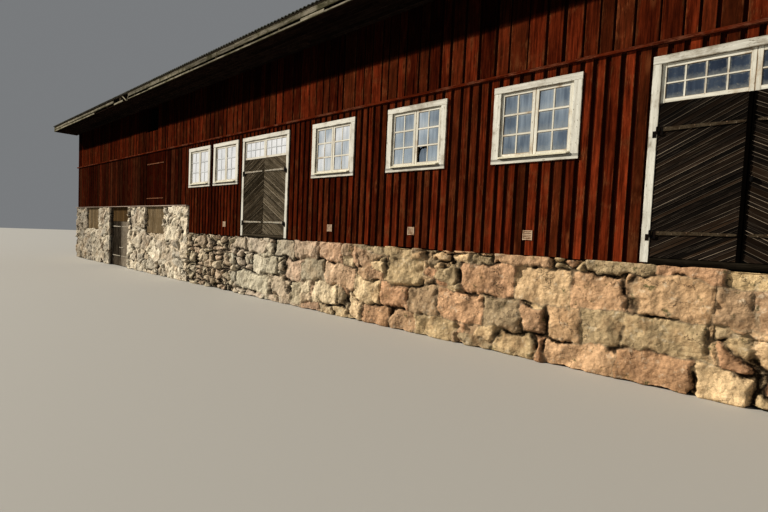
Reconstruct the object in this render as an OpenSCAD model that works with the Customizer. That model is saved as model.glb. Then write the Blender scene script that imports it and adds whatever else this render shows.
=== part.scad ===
// Long red timber barn on a granite base, with a high basement at its left end.
// Millimetres. The front looks towards -Y, Z = 0 is the lowest ground, X = 0 is mid-length.

/* [Building] */
// Length of the barn over its high basement, from the left corner
basement_len = 12200; // [11200:50:14000]
// Depth of the timber walls, front to back
barn_depth = 10400; // [9000:100:12000]
// Thickness of the walls below the belt batten
timber_t = 180; // [150:5:240]
// Thickness of the loft walls
loft_wall_t = 120; // [90:5:140]
// Height of the belt batten, where the loft floor lies
belt_z = 4510; // [4480:10:4800]

/* [Stone base] */
// Height of the high basement
basement_top = 2500; // [2400:10:2900]
// Height of the low stone base
base_top = 1620; // [1400:10:1650]
// Thickness of the stone walls
stone_t = 600; // [450:10:800]
// How far the stone stands out past the timber walls
stone_out = 80; // [60:5:120]
// Thickness of the wall at the right end of the basement
cross_wall_t = 500; // [400:10:700]

/* [Floors] */
// Thickness of the plank floors
floor_t = 60; // [40:5:75]

/* [Windows] */
// Outer width of a window's casing
win_w = 1400; // [1200:10:1420]
// Outer height of a window's casing
win_h = 1250; // [1000:10:1350]
// Height of the casing tops over windows and doors
opening_top = 4335; // [4250:5:4360]
// Width of the side casings of a window
casing_side = 125; // [90:5:150]
// Width of the casing over a window or a door
casing_head = 105; // [80:5:140]
// Width of the casing under a window
casing_foot = 80; // [60:5:120]
// Thickness of the casings
casing_t = 60; // [50:1:75]
// Depth of the sashes behind the casings' face
sash_recess = 20; // [12:1:28]
// Thickness of the sashes
sash_t = 40; // [30:1:48]
// Width of the sash stiles and rails
stile_w = 55; // [40:1:65]
// Thickness of the glass
glass_t = 4; // [3:1:6]
// How far the glass laps behind the sashes
glass_lap = 12; // [6:1:14]
// Middle of the first window, from the end of the basement
first_win = 690; // [660:5:900]
// Spacing of the two windows in each outer pair
pair_bay = 1600; // [1450:10:1900]
// Spacing of the three middle windows
window_bay = 2330; // [1600:10:3000]
// Middle of the last window, back from the right corner
last_win = 870; // [800:5:1500]

/* [Byre doors] */
// Middle of a door, from the nearer window of the pair beside it
pair_to_door = 1993; // [1850:1:2500]
// Middle of a door, from the nearest of the three middle windows
door_to_window = 2647; // [2200:1:3200]
// Outer width of a door's casings
door_w = 2117; // [1900:1:2200]
// Width of the door casings
door_casing = 100; // [80:5:120]
// Height of the underside of the glazed transom
transom_z = 3725; // [3500:5:3900]
// Height of the door sill beams
sill_h = 80; // [60:5:100]
// Width of the stop that a door closes against
stop_w = 40; // [30:1:60]

/* [Door leaves] */
// Thickness of the backing of a byre door leaf
backing_t = 25; // [20:1:26]
// Depth of the lapped boards on a byre door leaf
lap_t = 20; // [14:1:22]
// Width of the lapped boards that shows
lap_pitch = 102; // [80:1:120]
// Height of the second edge of a lapped board above its foot
lap_bead = 38.5; // [25:0.5:55]
// How far that second edge stands out
lap_bead_t = 4; // [2:0.5:5]
// Slope of the lapped boards
lap_angle = 29; // [20:1:40]
// Gap between a leaf and its casing
side_gap = 6; // [5:0.5:8]
// Gap between two leaves
meeting_gap = 10; // [9:0.5:14]
// Gap above and below a leaf
end_gap = 8; // [6:0.5:14]
// Width of the dark strip along a leaf's free edge
edge_strip_w = 40; // [30:1:60]
// Thickness of the dark strip
edge_strip_t = 12; // [8:1:14]

/* [Hinges] */
// Radius of a pintle's pin
pin_r = 8; // [6:0.5:9]
// Running clearance of a strap's eye round the pin
pin_clear = 0.8; // [0.5:0.1:0.9]
// Wall of a strap's eye
eye_wall = 4.2; // [3:0.2:5]
// Distance of the pins in front of the casings
pin_out = 20; // [19:0.5:24]
// Height of a strap
strap_h = 55; // [40:1:70]
// Thickness of a strap
strap_t = 8; // [6:0.5:8]
// Distance of a strap's end from the free edge of its leaf
strap_free = 47; // [45:0.5:400]
// Height of the upper straps of the byre doors
strap_high = 3380; // [3200:10:3450]
// Height of the lower straps of the byre doors
strap_low = 2030; // [1950:10:2300]

/* [Basement openings] */
// Left edge of the basement doorway, from the left corner
cellar_door_x = 4800; // [4400:10:5200]
// Width of the basement doorway
cellar_door_w = 2150; // [1900:10:2300]
// Height of the basement door leaves
cellar_door_h = 1900; // [1800:10:2100]
// Thickness of the basement door leaves
cellar_leaf_t = 45; // [35:1:48]
// Depth of the basement door's frame behind the stone face
cellar_recess = 120; // [100:5:160]
// Width of the basement door's posts
post_w = 90; // [70:5:120]
// Depth of the basement door's posts
post_t = 140; // [120:5:180]
// Width of the boarded basement windows
cellar_win_w = 1600; // [1300:10:1700]
// Height of the sill of the boarded windows
cellar_sill_z = 1515; // [1300:5:1700]
// Left edge of the first boarded window, from the left corner
cellar_win_1 = 1640; // [1200:10:2000]
// Left edge of the second boarded window, back from the end of the basement
cellar_win_2 = 3490; // [2400:10:4000]
// Thickness of the boards in those windows
cellar_board_t = 50; // [30:1:70]
// Depth of the boards in those windows behind the stone face
cellar_board_recess = 75; // [50:5:120]

/* [Hatches and vents] */
// Left edge of the plank hatch, back from the end of the basement
hatch_x = 3460; // [2000:10:4000]
// Width of the plank hatch
hatch_w = 1570; // [1200:10:1700]
// Thickness of the plank hatch
hatch_t = 30; // [22:1:40]
// Left edge of the loft hatch, back from the end of the basement
loft_hatch_x = 3540; // [1500:10:4500]
// Width of the loft hatch
loft_hatch_w = 900; // [700:10:1100]
// Height of the foot of the loft hatch
loft_hatch_z = 5280; // [5000:10:5500]
// Width of a wall vent
vent_w = 160; // [120:5:200]
// Height of the middle of the wall vents
vent_z = 1940; // [1850:5:2100]

/* [Mouldings] */
// Height of the belt batten
belt_h = 45; // [35:1:60]
// How far the belt batten stands out
belt_out = 70; // [60:1:90]
// Thickness of the drip boards on the basement
drip_t = 28; // [20:1:40]

/* [Roof] */
// Slope of the roof
roof_pitch = 27; // [20:1:38]
// Height of the soffit under the eaves
soffit_z = 6180; // [6000:10:6600]
// Height of the eave, from the soffit to the roof boards
eave_h = 215; // [205:5:260]
// Distance of the fascia from the timber wall
eave_out = 960; // [600:10:1100]
// Length of the roof past the gables
gable_out = 390; // [200:10:600]
// Thickness of the roof boarding
deck_t = 25; // [20:1:35]
// Depth of the rafters
rafter_h = 145; // [120:5:150]
// Width of the rafters
rafter_w = 75; // [60:1:100]
// Largest spacing of the rafters
rafter_gap = 1400; // [1000:50:1800]
// Thickness of the ridge beam
ridge_beam_t = 50; // [40:1:80]
// Depth of the ridge beam
ridge_beam_h = 220; // [180:5:260]
// Thickness of the soffit boards
soffit_t = 22; // [18:1:28]
// Thickness of the fascia and verge boards
edge_t = 25; // [20:1:35]
// Depth of the verge boards
verge_h = 200; // [150:5:260]
// Height of the lower fascia board
fascia_low_h = 75; // [60:1:90]
// Gap between the two fascia boards
fascia_gap = 18; // [10:1:30]
// Spacing of the roof sheets' waves
wave_pitch = 130; // [76:1:180]
// Depth of the roof sheets' waves
wave_h = 28; // [18:1:50]
// Thickness of the roof sheets
sheet_t = 7; // [5:1:10]
// Length of the roof sheets past the fascia and verge boards
sheet_out = 35; // [20:1:60]
// Width of a wing of the ridge cap
ridge_wing = 210; // [150:5:300]

/* [Hidden] */
$fn = 48;

door_offset = window_bay + door_to_window;
pair_near = door_offset + pair_to_door;
pair_far = pair_near + pair_bay;
wall_len = basement_len + first_win + 2 * pair_far + last_win;
x0 = -wall_len / 2;
x1 = wall_len / 2;
half = barn_depth / 2;
casing_y = -half - casing_t;
stone_y = -half - stone_out;
stone_in = half + stone_out - stone_t;
joint_gap = 0.5;

basement_x = x0 + basement_len;
mid_x = basement_x + first_win + pair_far;
win_mids = [for (d = [-pair_far, -pair_near, -window_bay, 0, window_bay, pair_near, pair_far])
    mid_x + d];
door_mids = [mid_x - door_offset, mid_x + door_offset];
door_in = door_w / 2 - door_casing;
win_in = win_w / 2 - casing_side;
header_z = opening_top - casing_head;
win_foot = opening_top - win_h;
sill_top = base_top + sill_h;

cellar_x = x0 + cellar_door_x;
cellar_mid = cellar_x + cellar_door_w / 2;
cellar_in = cellar_door_w / 2 - post_w;
cellar_win_xs = [x0 + cellar_win_1, basement_x - cellar_win_2];
cellar_strap_high = cellar_door_h - 220;
cellar_strap_low = 430;
hatch_left = basement_x - hatch_x;
loft_hatch_left = basement_x - loft_hatch_x;

fascia_y = half + eave_out;
slope = tan(roof_pitch);
rise = 1 / cos(roof_pitch);
ridge_z = soffit_z + eave_h + slope * fascia_y;
roof_x = wall_len / 2 + gable_out;
function deck_under(y) = ridge_z - slope * abs(y);
function wall_top(y) = deck_under(y) - joint_gap * rise;
function rafter_top(y) = deck_under(y) - joint_gap / 2 * rise;

pin_y = casing_y - pin_out;
cellar_pin_y = stone_y + cellar_recess - pin_out;
leaf_face = pin_out + 10;
eye_r = pin_r + pin_clear + eye_wall;
leaf_w = (2 * door_in - 2 * side_gap - meeting_gap) / 2;
cellar_leaf_w = (2 * cellar_in - 2 * side_gap - meeting_gap) / 2;

red = [0.45, 0.11, 0.07];
granite = [0.56, 0.52, 0.47];
cream = [0.92, 0.90, 0.82];
bare_wood = [0.50, 0.44, 0.36];
tarred = [0.17, 0.15, 0.13];
iron = [0.20, 0.18, 0.17];
sheet_grey = [0.28, 0.30, 0.29];

// A box between two values along each axis
module span(x, y, z) {
    translate([x[0], y[0], z[0]]) cube([x[1] - x[0], y[1] - y[0], z[1] - z[0]]);
}

module front_and_back() {
    children();
    mirror([0, 1, 0]) children();
}

// A profile in Y and Z, drawn out along X
module along_x(x, points) {
    translate([x[0], 0, 0]) rotate([90, 0, 90]) linear_extrude(x[1] - x[0]) polygon(points);
}

// Stone base

module stone_front(x) {
    span(x, [stone_y, stone_y + stone_t], [0, basement_top]);
}

module cellar_window_cut(x) {
    span([x, x + cellar_win_w], [stone_y - 1, stone_y + stone_t + 1],
        [cellar_sill_z, basement_top + 1]);
}

module basement_front_left() {
    color(granite) difference() {
        stone_front([x0 - stone_out, cellar_x]);
        cellar_window_cut(cellar_win_xs[0]);
    }
}

module basement_front_right() {
    color(granite) difference() {
        stone_front([cellar_x + cellar_door_w, basement_x]);
        cellar_window_cut(cellar_win_xs[1]);
    }
}

module basement_end_walls() {
    color(granite) {
        span([x0 - stone_out, x0 - stone_out + stone_t], [-stone_in, stone_in], [0, basement_top]);
        span([basement_x - cross_wall_t, basement_x], [-stone_in, stone_in], [0, basement_top]);
    }
}

module basement_back_wall() {
    color(granite) mirror([0, 1, 0]) difference() {
        stone_front([x0 - stone_out, basement_x]);
        for (x = cellar_win_xs) cellar_window_cut(x);
    }
}

module low_base_walls() {
    color(granite) front_and_back()
        span([basement_x, x1 + stone_out], [stone_y, stone_y + stone_t], [0, base_top]);
}

module low_base_gable() {
    color(granite)
        span([x1 + stone_out - stone_t, x1 + stone_out], [-stone_in, stone_in], [0, base_top]);
}

// Floors, each on the stone or on the header beams inside the walls

module barn_floor() {
    color(bare_wood) span([x0 + timber_t, basement_x], [-half + timber_t, half - timber_t],
        [basement_top, basement_top + floor_t]);
}

module byre_floor() {
    color(bare_wood) span([basement_x, x1 - timber_t], [-half + timber_t, half - timber_t],
        [base_top, base_top + floor_t]);
}

module loft_floor() {
    color(bare_wood) span([x0 + timber_t, x1 - timber_t], [-half + loft_wall_t, half - loft_wall_t],
        [belt_z, belt_z + floor_t]);
}

// Timber walls

module wall_front(x, z) {
    span(x, [-half, -half + timber_t], z);
}

module window_cut(mid) {
    span([mid - win_in, mid + win_in], [-half - 1, -half + timber_t + 1],
        [win_foot + casing_foot, header_z + 1]);
}

module barn_wall_front() {
    color(red) difference() {
        wall_front([x0, basement_x], [basement_top, header_z]);
        span([hatch_left + casing_head, hatch_left + hatch_w - casing_head],
            [-half - 1, -half + timber_t + 1], [basement_top + casing_head, header_z + 1]);
    }
}

// Three lengths of wall, beside the two doorways
module byre_walls_front() {
    stops = door_in - stop_w;
    color(red) difference() {
        wall_front([basement_x, x1], [base_top, header_z]);
        for (m = win_mids) window_cut(m);
        for (m = door_mids)
            span([m - stops, m + stops], [-half - 1, -half + timber_t + 1],
                [base_top - 1, header_z + 1]);
    }
}

module loft_wall() {
    along_x([x0, x1], [
        [-half, belt_z], [-half + loft_wall_t, belt_z],
        [-half + loft_wall_t, wall_top(half - loft_wall_t) - rafter_h * rise],
        [-half, wall_top(half) - rafter_h * rise]
    ]);
}

module loft_wall_front() {
    color(red) difference() {
        loft_wall();
        span([loft_hatch_left, loft_hatch_left + loft_hatch_w],
            [-half - 1, -half + loft_wall_t + 1], [loft_hatch_z, soffit_z]);
    }
}

module back_walls() {
    color(red) mirror([0, 1, 0]) {
        wall_front([x0, basement_x], [basement_top, header_z]);
        difference() {
            wall_front([basement_x, x1], [base_top, header_z]);
            for (m = win_mids) window_cut(m);
        }
    }
}

module loft_wall_back() {
    color(red) mirror([0, 1, 0]) loft_wall();
}

// A gable fits between the long walls and reaches the roof boards
module gable(x, foot) {
    low = half - timber_t;
    up = half - loft_wall_t;
    along_x([x, x + timber_t], [
        [-low, foot], [low, foot], [low, belt_z], [up, belt_z], [up, wall_top(up)],
        [0, wall_top(0)], [-up, wall_top(up)], [-up, belt_z], [-low, belt_z]
    ]);
}

module gable_left() {
    color(red) gable(x0, basement_top);
}

module gable_right() {
    color(red) gable(x1 - timber_t, base_top);
}

// Header beams over the lower walls, and the beam between the rafters at the ridge
module long_beams() {
    ridge_top = wall_top(ridge_beam_t / 2);
    color(bare_wood) {
        front_and_back() wall_front([x0, x1], [header_z, belt_z]);
        span([x0 + timber_t, x1 - timber_t], [-ridge_beam_t / 2, ridge_beam_t / 2],
            [ridge_top - ridge_beam_h, ridge_top]);
    }
}

// Mouldings

module belt_battens() {
    z = [belt_z - belt_h / 2, belt_z + belt_h / 2];
    color(red) {
        front_and_back() span([x0 - belt_out, x1 + belt_out], [-half - belt_out, -half], z);
        for (x = [[x0 - belt_out, x0], [x1, x1 + belt_out]])
            span(x, [-half + joint_gap, half - joint_gap], z);
    }
}

module drip_boards() {
    z = [basement_top, basement_top + drip_t];
    out = stone_out + 25;
    color(bare_wood) {
        front_and_back() span([x0 - out, basement_x - 60], [-half - out, -half], z);
        span([x0 - out, x0], [-half + joint_gap, half - joint_gap], z);
    }
}

module door_sills() {
    wide = door_in - joint_gap;
    narrow = door_in - stop_w;
    color(tarred) for (m = door_mids) {
        span([m - wide, m + wide], [casing_y + 5, -half], [base_top, sill_top]);
        span([m - narrow, m + narrow], [-half, -half + timber_t], [base_top, sill_top]);
    }
}

// Windows

module casing_ring(mid) {
    difference() {
        span([mid - win_w / 2, mid + win_w / 2], [casing_y, -half], [win_foot, opening_top]);
        span([mid - win_in, mid + win_in], [casing_y - 1, -half + 1],
            [win_foot + casing_foot, header_z]);
    }
}

module window_casings() {
    color(cream) front_and_back() for (m = win_mids) casing_ring(m);
}

// Two casements side by side in one opening, stiles and rails only
module sash_pair(mid, half_w, z) {
    y = [casing_y + sash_recess, casing_y + sash_recess + sash_t];
    difference() {
        span([mid - half_w, mid + half_w], y, z);
        for (s = [-1, 1]) {
            xs = [mid + s * stile_w, mid + s * (half_w - stile_w)];
            span([min(xs), max(xs)], [y[0] - 1, y[1] + 1], [z[0] + stile_w, z[1] - stile_w]);
        }
    }
}

module pane(mid, half_w, z) {
    y = casing_y + sash_recess + sash_t;
    in = stile_w - glass_lap;
    span([mid - half_w + in, mid + half_w - in], [y, y + glass_t], [z[0] + in, z[1] - in]);
}

module in_each_opening() {
    win_z = [win_foot + casing_foot, header_z];
    $half_w = win_in;
    $z = win_z;
    front_and_back() for ($mid = win_mids) children();
    for ($mid = door_mids, $half_w = [door_in], $z = [[transom_z, header_z]]) children();
}

module sashes() {
    color(cream) in_each_opening() sash_pair($mid, $half_w, $z);
}

module glass_panes() {
    color([0.70, 0.80, 0.88, 0.4]) in_each_opening() pane($mid, $half_w, $z);
}

module door_casings() {
    color(cream) for (m = door_mids) difference() {
        span([m - door_w / 2, m + door_w / 2], [casing_y, -half], [base_top + 20, opening_top]);
        span([m - door_in, m + door_in], [casing_y - 1, -half + 1], [base_top, header_z]);
    }
}

// Basement openings

module boarded_windows() {
    y = stone_y + cellar_board_recess;
    color(bare_wood) front_and_back() for (x = cellar_win_xs)
        span([x, x + cellar_win_w], [y, y + cellar_board_t], [cellar_sill_z, basement_top]);
}

// Posts with a rebate that the leaves close against, and the boarded panel over them
module basement_door_frame() {
    y = stone_y + cellar_recess;
    rebate = pin_out + cellar_leaf_t + 5;
    color(bare_wood) {
        for (s = [0, 1]) translate([cellar_mid, y, 0]) mirror([s, 0, 0]) {
            span([cellar_in, cellar_in + post_w], [0, post_t], [0, basement_top]);
            span([cellar_in - stop_w, cellar_in], [rebate, post_t], [0, basement_top]);
        }
        span([cellar_mid - cellar_in, cellar_mid + cellar_in], [y, y + rebate],
            [cellar_door_h, basement_top]);
    }
}

// Hatches and vents

module plank_hatch() {
    color(red) span([hatch_left, hatch_left + hatch_w], [-half - hatch_t, -half],
        [basement_top + drip_t, belt_z - belt_h / 2]);
}

module wall_vents() {
    thick = 45;
    color(granite) for (m = [win_mids[1], win_mids[2], win_mids[3], win_mids[4]])
        span([m - vent_w / 2, m + vent_w / 2], [-half - thick, -half],
            [vent_z - vent_w / 2, vent_z + vent_w / 2]);
}

// Roof

module rafters() {
    first = x0 + timber_t;
    last = x1 - timber_t - rafter_w;
    count = ceil((last - first) / rafter_gap);
    head = ridge_beam_t / 2;
    tail = fascia_y - edge_t;
    color(bare_wood) for (i = [0:count]) {
        x = first + (last - first) * i / count;
        front_and_back() along_x([x, x + rafter_w], [
            [-tail, rafter_top(tail) - rafter_h * rise], [-head, rafter_top(head) - rafter_h * rise],
            [-head, rafter_top(head)], [-tail, rafter_top(tail)]
        ]);
    }
}

module roof_boarding() {
    t = deck_t * rise;
    color(bare_wood) along_x([-roof_x, roof_x], [
        [-fascia_y, deck_under(fascia_y)], [0, ridge_z], [fascia_y, deck_under(fascia_y)],
        [fascia_y, deck_under(fascia_y) + t], [0, ridge_z + t], [-fascia_y, deck_under(fascia_y) + t]
    ]);
}

// Corrugated sheets on one slope, drawn down from the ridge
module roof_sheets() {
    wide = 2 * (roof_x + edge_t + sheet_out);
    waves = round(wide / wave_pitch);
    pitch = wide / waves;
    upper = [for (i = [0:waves - 1]) each [
        [i, 0], [i + 0.2, 0], [i + 0.4, wave_h], [i + 0.8, wave_h]
    ]];
    top = [for (p = upper) [p[0] * pitch, p[1] + sheet_t]];
    foot = [for (i = [len(upper) - 1:-1:0]) [upper[i][0] * pitch, upper[i][1]]];
    long = (fascia_y + sheet_out) * rise;
    translate([-wide / 2, 0, ridge_z + (deck_t + joint_gap / 2) * rise]) rotate([90 + roof_pitch, 0, 0])
        translate([0, 0, 30]) linear_extrude(long - 30)
            polygon(concat(top, [[wide, sheet_t], [wide, 0]], foot));
}

module roof_sheets_front() {
    color(sheet_grey) roof_sheets();
}

module roof_sheets_back() {
    color(sheet_grey) mirror([0, 1, 0]) roof_sheets();
}

module ridge_cap() {
    foot = ridge_z + (deck_t + wave_h + sheet_t + joint_gap) * rise;
    t = sheet_t * rise;
    wing = ridge_wing * cos(roof_pitch);
    drop = wing * slope;
    wide = roof_x + edge_t + sheet_out;
    color(sheet_grey) along_x([-wide, wide], [
        [-wing, foot - drop], [0, foot], [wing, foot - drop],
        [wing, foot - drop + t], [0, foot + t], [-wing, foot - drop + t]
    ]);
}

// Two fascia boards along each eave, and a verge board down each slope
module roof_edge_boards() {
    low_top = soffit_z + fascia_low_h;
    top_z = deck_under(fascia_y);
    verge = [
        [-fascia_y, soffit_z], [-half, soffit_z], [-half, deck_under(half) - verge_h],
        [-joint_gap, deck_under(joint_gap) - verge_h], [-joint_gap, deck_under(joint_gap)],
        [-fascia_y, top_z]
    ];
    color(bare_wood) front_and_back() {
        for (z = [[soffit_z, low_top], [low_top + fascia_gap, top_z]])
            span([-roof_x + joint_gap, roof_x - joint_gap], [-fascia_y, -fascia_y + edge_t], z);
        for (x = [[-roof_x - edge_t, -roof_x], [roof_x, roof_x + edge_t]]) along_x(x, verge);
    }
}

module soffits() {
    color(bare_wood) front_and_back()
        span([-roof_x, roof_x], [-fascia_y + edge_t, -half], [soffit_z, soffit_z + soffit_t]);
}

// Hinges. Each is drawn about its pin: the leaf lies along +X, the wall is towards +Y.

module pintle(z) {
    seat = z - strap_h / 2 - 0.3;
    span([-52, -10], [pin_out - 4, pin_out], [seat - 75, seat + 10]);
    span([-14, pin_r], [-pin_r, pin_out], [seat - 32, seat]);
    translate([0, 0, seat - 32]) cylinder(r = pin_r, h = strap_h + 42);
}

module strap(z, len) {
    crank = 46;
    translate([0, 0, z - strap_h / 2]) difference() {
        union() {
            cylinder(r = eye_r, h = strap_h);
            linear_extrude(strap_h) polygon([
                [0, eye_r], [crank, leaf_face], [len, leaf_face],
                [len, leaf_face - strap_t], [crank + 4, leaf_face - strap_t],
                [eye_r * 0.62, eye_r * 0.46]
            ]);
        }
        translate([0, 0, -1]) cylinder(r = pin_r + pin_clear, h = strap_h + 2);
    }
}

// Places a left-hand piece at a pin; side 1 turns it into the right-hand one
module at_pin(x, y, side) {
    translate([x, y, 0]) mirror([side, 0, 0]) children();
}

function door_pin_x(door, side) = door_mids[door] + (side == 0 ? -door_in : door_in);
function cellar_pin_x(side) = cellar_mid + (side == 0 ? -cellar_in : cellar_in);

module pintles() {
    color(iron) for (side = [0, 1]) {
        for (door = [0, 1], z = [strap_low, strap_high])
            at_pin(door_pin_x(door, side), pin_y, side) pintle(z);
        for (z = [cellar_strap_low, cellar_strap_high])
            at_pin(cellar_pin_x(side), cellar_pin_y, side) pintle(z);
    }
}

// Boards that lap downwards like shingles and rise towards the free edge
module lapped_boards(x, z) {
    back = leaf_face + lap_t;
    thin = leaf_face + lap_t * 0.65;
    tall = z[1] - z[0];
    count = ceil((tall + leaf_w * tan(lap_angle)) * cos(lap_angle) / lap_pitch) + 1;
    bead = leaf_face + (thin - leaf_face) * lap_bead / lap_pitch + lap_bead_t;
    steps = [for (i = [0:count - 1]) each [
        [leaf_face, i * lap_pitch], [bead, i * lap_pitch + lap_bead],
        [bead - lap_bead_t, i * lap_pitch + lap_bead], [thin, (i + 1) * lap_pitch]
    ]];
    long = (leaf_w + tall) * 1.2;
    intersection() {
        span(x, [leaf_face, back], z);
        translate([x[0], 0, z[0] - leaf_w * tan(lap_angle)]) rotate([0, -lap_angle, 0])
            translate([-long / 4, 0, 0]) rotate([90, 0, 90]) linear_extrude(long)
                polygon(concat([[back, 0]], steps, [[back, count * lap_pitch]]));
    }
}

module byre_leaf() {
    x = [side_gap, side_gap + leaf_w];
    z = [sill_top + end_gap, transom_z - end_gap];
    back = leaf_face + lap_t;
    color(tarred) {
        lapped_boards([x[0], x[1] - edge_strip_w], z);
        span(x, [back, back + backing_t], z);
        span([x[1] - edge_strip_w, x[1]], [leaf_face - edge_strip_t, back], z);
    }
}

module byre_straps() {
    color(iron) for (z = [strap_low, strap_high]) strap(z, side_gap + leaf_w - strap_free);
}

module cellar_leaf() {
    color(tarred) span([side_gap, side_gap + cellar_leaf_w],
        [leaf_face, leaf_face + cellar_leaf_t], [20, cellar_door_h - end_gap]);
}

module cellar_straps() {
    color(iron) for (z = [cellar_strap_low, cellar_strap_high])
        strap(z, side_gap + cellar_leaf_w - strap_free);
}

module door_1_left_leaf() { at_pin(door_pin_x(0, 0), pin_y, 0) byre_leaf(); }
module door_1_left_straps() { at_pin(door_pin_x(0, 0), pin_y, 0) byre_straps(); }
module door_1_right_leaf() { at_pin(door_pin_x(0, 1), pin_y, 1) byre_leaf(); }
module door_1_right_straps() { at_pin(door_pin_x(0, 1), pin_y, 1) byre_straps(); }
module door_2_left_leaf() { at_pin(door_pin_x(1, 0), pin_y, 0) byre_leaf(); }
module door_2_left_straps() { at_pin(door_pin_x(1, 0), pin_y, 0) byre_straps(); }
module door_2_right_leaf() { at_pin(door_pin_x(1, 1), pin_y, 1) byre_leaf(); }
module door_2_right_straps() { at_pin(door_pin_x(1, 1), pin_y, 1) byre_straps(); }
module cellar_left_leaf() { at_pin(cellar_pin_x(0), cellar_pin_y, 0) cellar_leaf(); }
module cellar_left_straps() { at_pin(cellar_pin_x(0), cellar_pin_y, 0) cellar_straps(); }
module cellar_right_leaf() { at_pin(cellar_pin_x(1), cellar_pin_y, 1) cellar_leaf(); }
module cellar_right_straps() { at_pin(cellar_pin_x(1), cellar_pin_y, 1) cellar_straps(); }

basement_front_left();
basement_front_right();
basement_end_walls();
basement_back_wall();
low_base_walls();
low_base_gable();
barn_floor();
byre_floor();
loft_floor();
barn_wall_front();
byre_walls_front();
loft_wall_front();
back_walls();
loft_wall_back();
gable_left();
gable_right();
long_beams();
belt_battens();
drip_boards();
door_sills();
window_casings();
door_casings();
sashes();
glass_panes();
boarded_windows();
basement_door_frame();
plank_hatch();
wall_vents();
rafters();
roof_boarding();
roof_sheets_front();
roof_sheets_back();
ridge_cap();
roof_edge_boards();
soffits();
pintles();
door_1_left_leaf();
door_1_left_straps();
door_1_right_leaf();
door_1_right_straps();
door_2_left_leaf();
door_2_left_straps();
door_2_right_leaf();
door_2_right_straps();
cellar_left_leaf();
cellar_left_straps();
cellar_right_leaf();
cellar_right_straps();
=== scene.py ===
import bmesh
import bpy
import math
import random
from mathutils import Matrix, Vector


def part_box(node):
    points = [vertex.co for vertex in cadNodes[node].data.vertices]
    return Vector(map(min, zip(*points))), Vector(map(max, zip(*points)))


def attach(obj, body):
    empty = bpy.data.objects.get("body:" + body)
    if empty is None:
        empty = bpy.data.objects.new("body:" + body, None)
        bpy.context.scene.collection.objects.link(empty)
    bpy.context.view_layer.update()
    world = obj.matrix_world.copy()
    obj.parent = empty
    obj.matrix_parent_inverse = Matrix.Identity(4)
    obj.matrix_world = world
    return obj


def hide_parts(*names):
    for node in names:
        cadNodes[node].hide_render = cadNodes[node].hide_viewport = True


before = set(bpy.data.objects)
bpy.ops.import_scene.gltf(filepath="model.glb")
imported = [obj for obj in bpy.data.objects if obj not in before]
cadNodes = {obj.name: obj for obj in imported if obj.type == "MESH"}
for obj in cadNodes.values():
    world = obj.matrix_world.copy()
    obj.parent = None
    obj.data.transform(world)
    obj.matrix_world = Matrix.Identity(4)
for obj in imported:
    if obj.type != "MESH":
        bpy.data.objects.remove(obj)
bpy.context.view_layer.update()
print("barn frame loaded:", len(cadNodes), "nodes")

# Places read from the frame, in metres
westEnd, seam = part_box("barn_wall_front")[0].x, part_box("barn_wall_front")[1].x
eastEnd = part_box("byre_walls_front")[1].x
wallOut = -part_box("byre_walls_front")[0].y
stoneOut = -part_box("low_base_walls")[0].y
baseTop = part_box("low_base_walls")[1].z
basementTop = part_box("basement_back_wall")[1].z
beltLow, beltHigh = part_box("belt_battens")[0].z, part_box("belt_battens")[1].z
windowFoot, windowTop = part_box("window_casings")[0].z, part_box("window_casings")[1].z
casingFace = -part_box("window_casings")[0].y
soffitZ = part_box("soffits")[0].z
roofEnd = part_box("roof_boarding")[1].x
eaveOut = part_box("roof_boarding")[1].y

# Sizes that the frame's boxes don't give
barn = {
    "firstWindow": 0.69, "pairBay": 1.6, "windowBay": 2.33, "pairToDoor": 1.993, "doorToWindow": 2.647,
    "cellarDoorLeft": 4.8, "cellarDoorWidth": 2.15, "cellarPost": 0.09,
    "cellarWindowWidth": 1.6, "cellarWindowFirst": 1.64, "cellarWindowSecond": 3.49,
    "loftHatchLeft": 3.54, "loftHatchWidth": 0.9, "loftHatchFoot": 5.28, "roofPitch": math.radians(27),
}
doorOffset = barn["windowBay"] + barn["doorToWindow"]
pairNear = doorOffset + barn["pairToDoor"]
pairFar = pairNear + barn["pairBay"]
byreMid = seam + barn["firstWindow"] + pairFar
windowMids = [byreMid + d for d in (-pairFar, -pairNear, -barn["windowBay"], 0, barn["windowBay"], pairNear, pairFar)]
doorMids = [byreMid - doorOffset, byreMid + doorOffset]
cellarMid = westEnd + barn["cellarDoorLeft"] + barn["cellarDoorWidth"] / 2
cellarWindows = [westEnd + barn["cellarWindowFirst"], seam - barn["cellarWindowSecond"]]
roofSlope = math.tan(barn["roofPitch"])
deckFoot = min(v.co.z for v in cadNodes["roof_boarding"].data.vertices)
ridgeUnder = deckFoot + roofSlope * eaveOut


def addNode(tree, kind, inputs=None, **settings):
    node = tree.nodes.new(kind)
    for name, value in settings.items():
        setattr(node, name, value)
    for key, value in (inputs or {}).items():
        if isinstance(value, bpy.types.NodeSocket):
            tree.links.new(value, node.inputs[key])
        else:
            node.inputs[key].default_value = value
    return node


def maths(tree, operation, *values):
    return addNode(tree, "ShaderNodeMath", dict(enumerate(values)), operation=operation).outputs[0]


def vectorMaths(tree, operation, *values):
    node = addNode(tree, "ShaderNodeVectorMath", operation=operation)
    for i, value in enumerate(values):
        socket = node.inputs["Scale"] if operation == "SCALE" and i == 1 else node.inputs[i]
        if isinstance(value, bpy.types.NodeSocket):
            tree.links.new(value, socket)
        else:
            socket.default_value = value
    return node.outputs["Value" if operation in ("DOT_PRODUCT", "LENGTH", "DISTANCE") else "Vector"]


def noise(tree, vector, scale, detail=3.0, roughness=0.6, output=0, distortion=0.0):
    node = addNode(tree, "ShaderNodeTexNoise", {
        "Vector": vector, "Scale": scale, "Detail": detail, "Roughness": roughness, "Distortion": distortion})
    return node.outputs[output]


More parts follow.
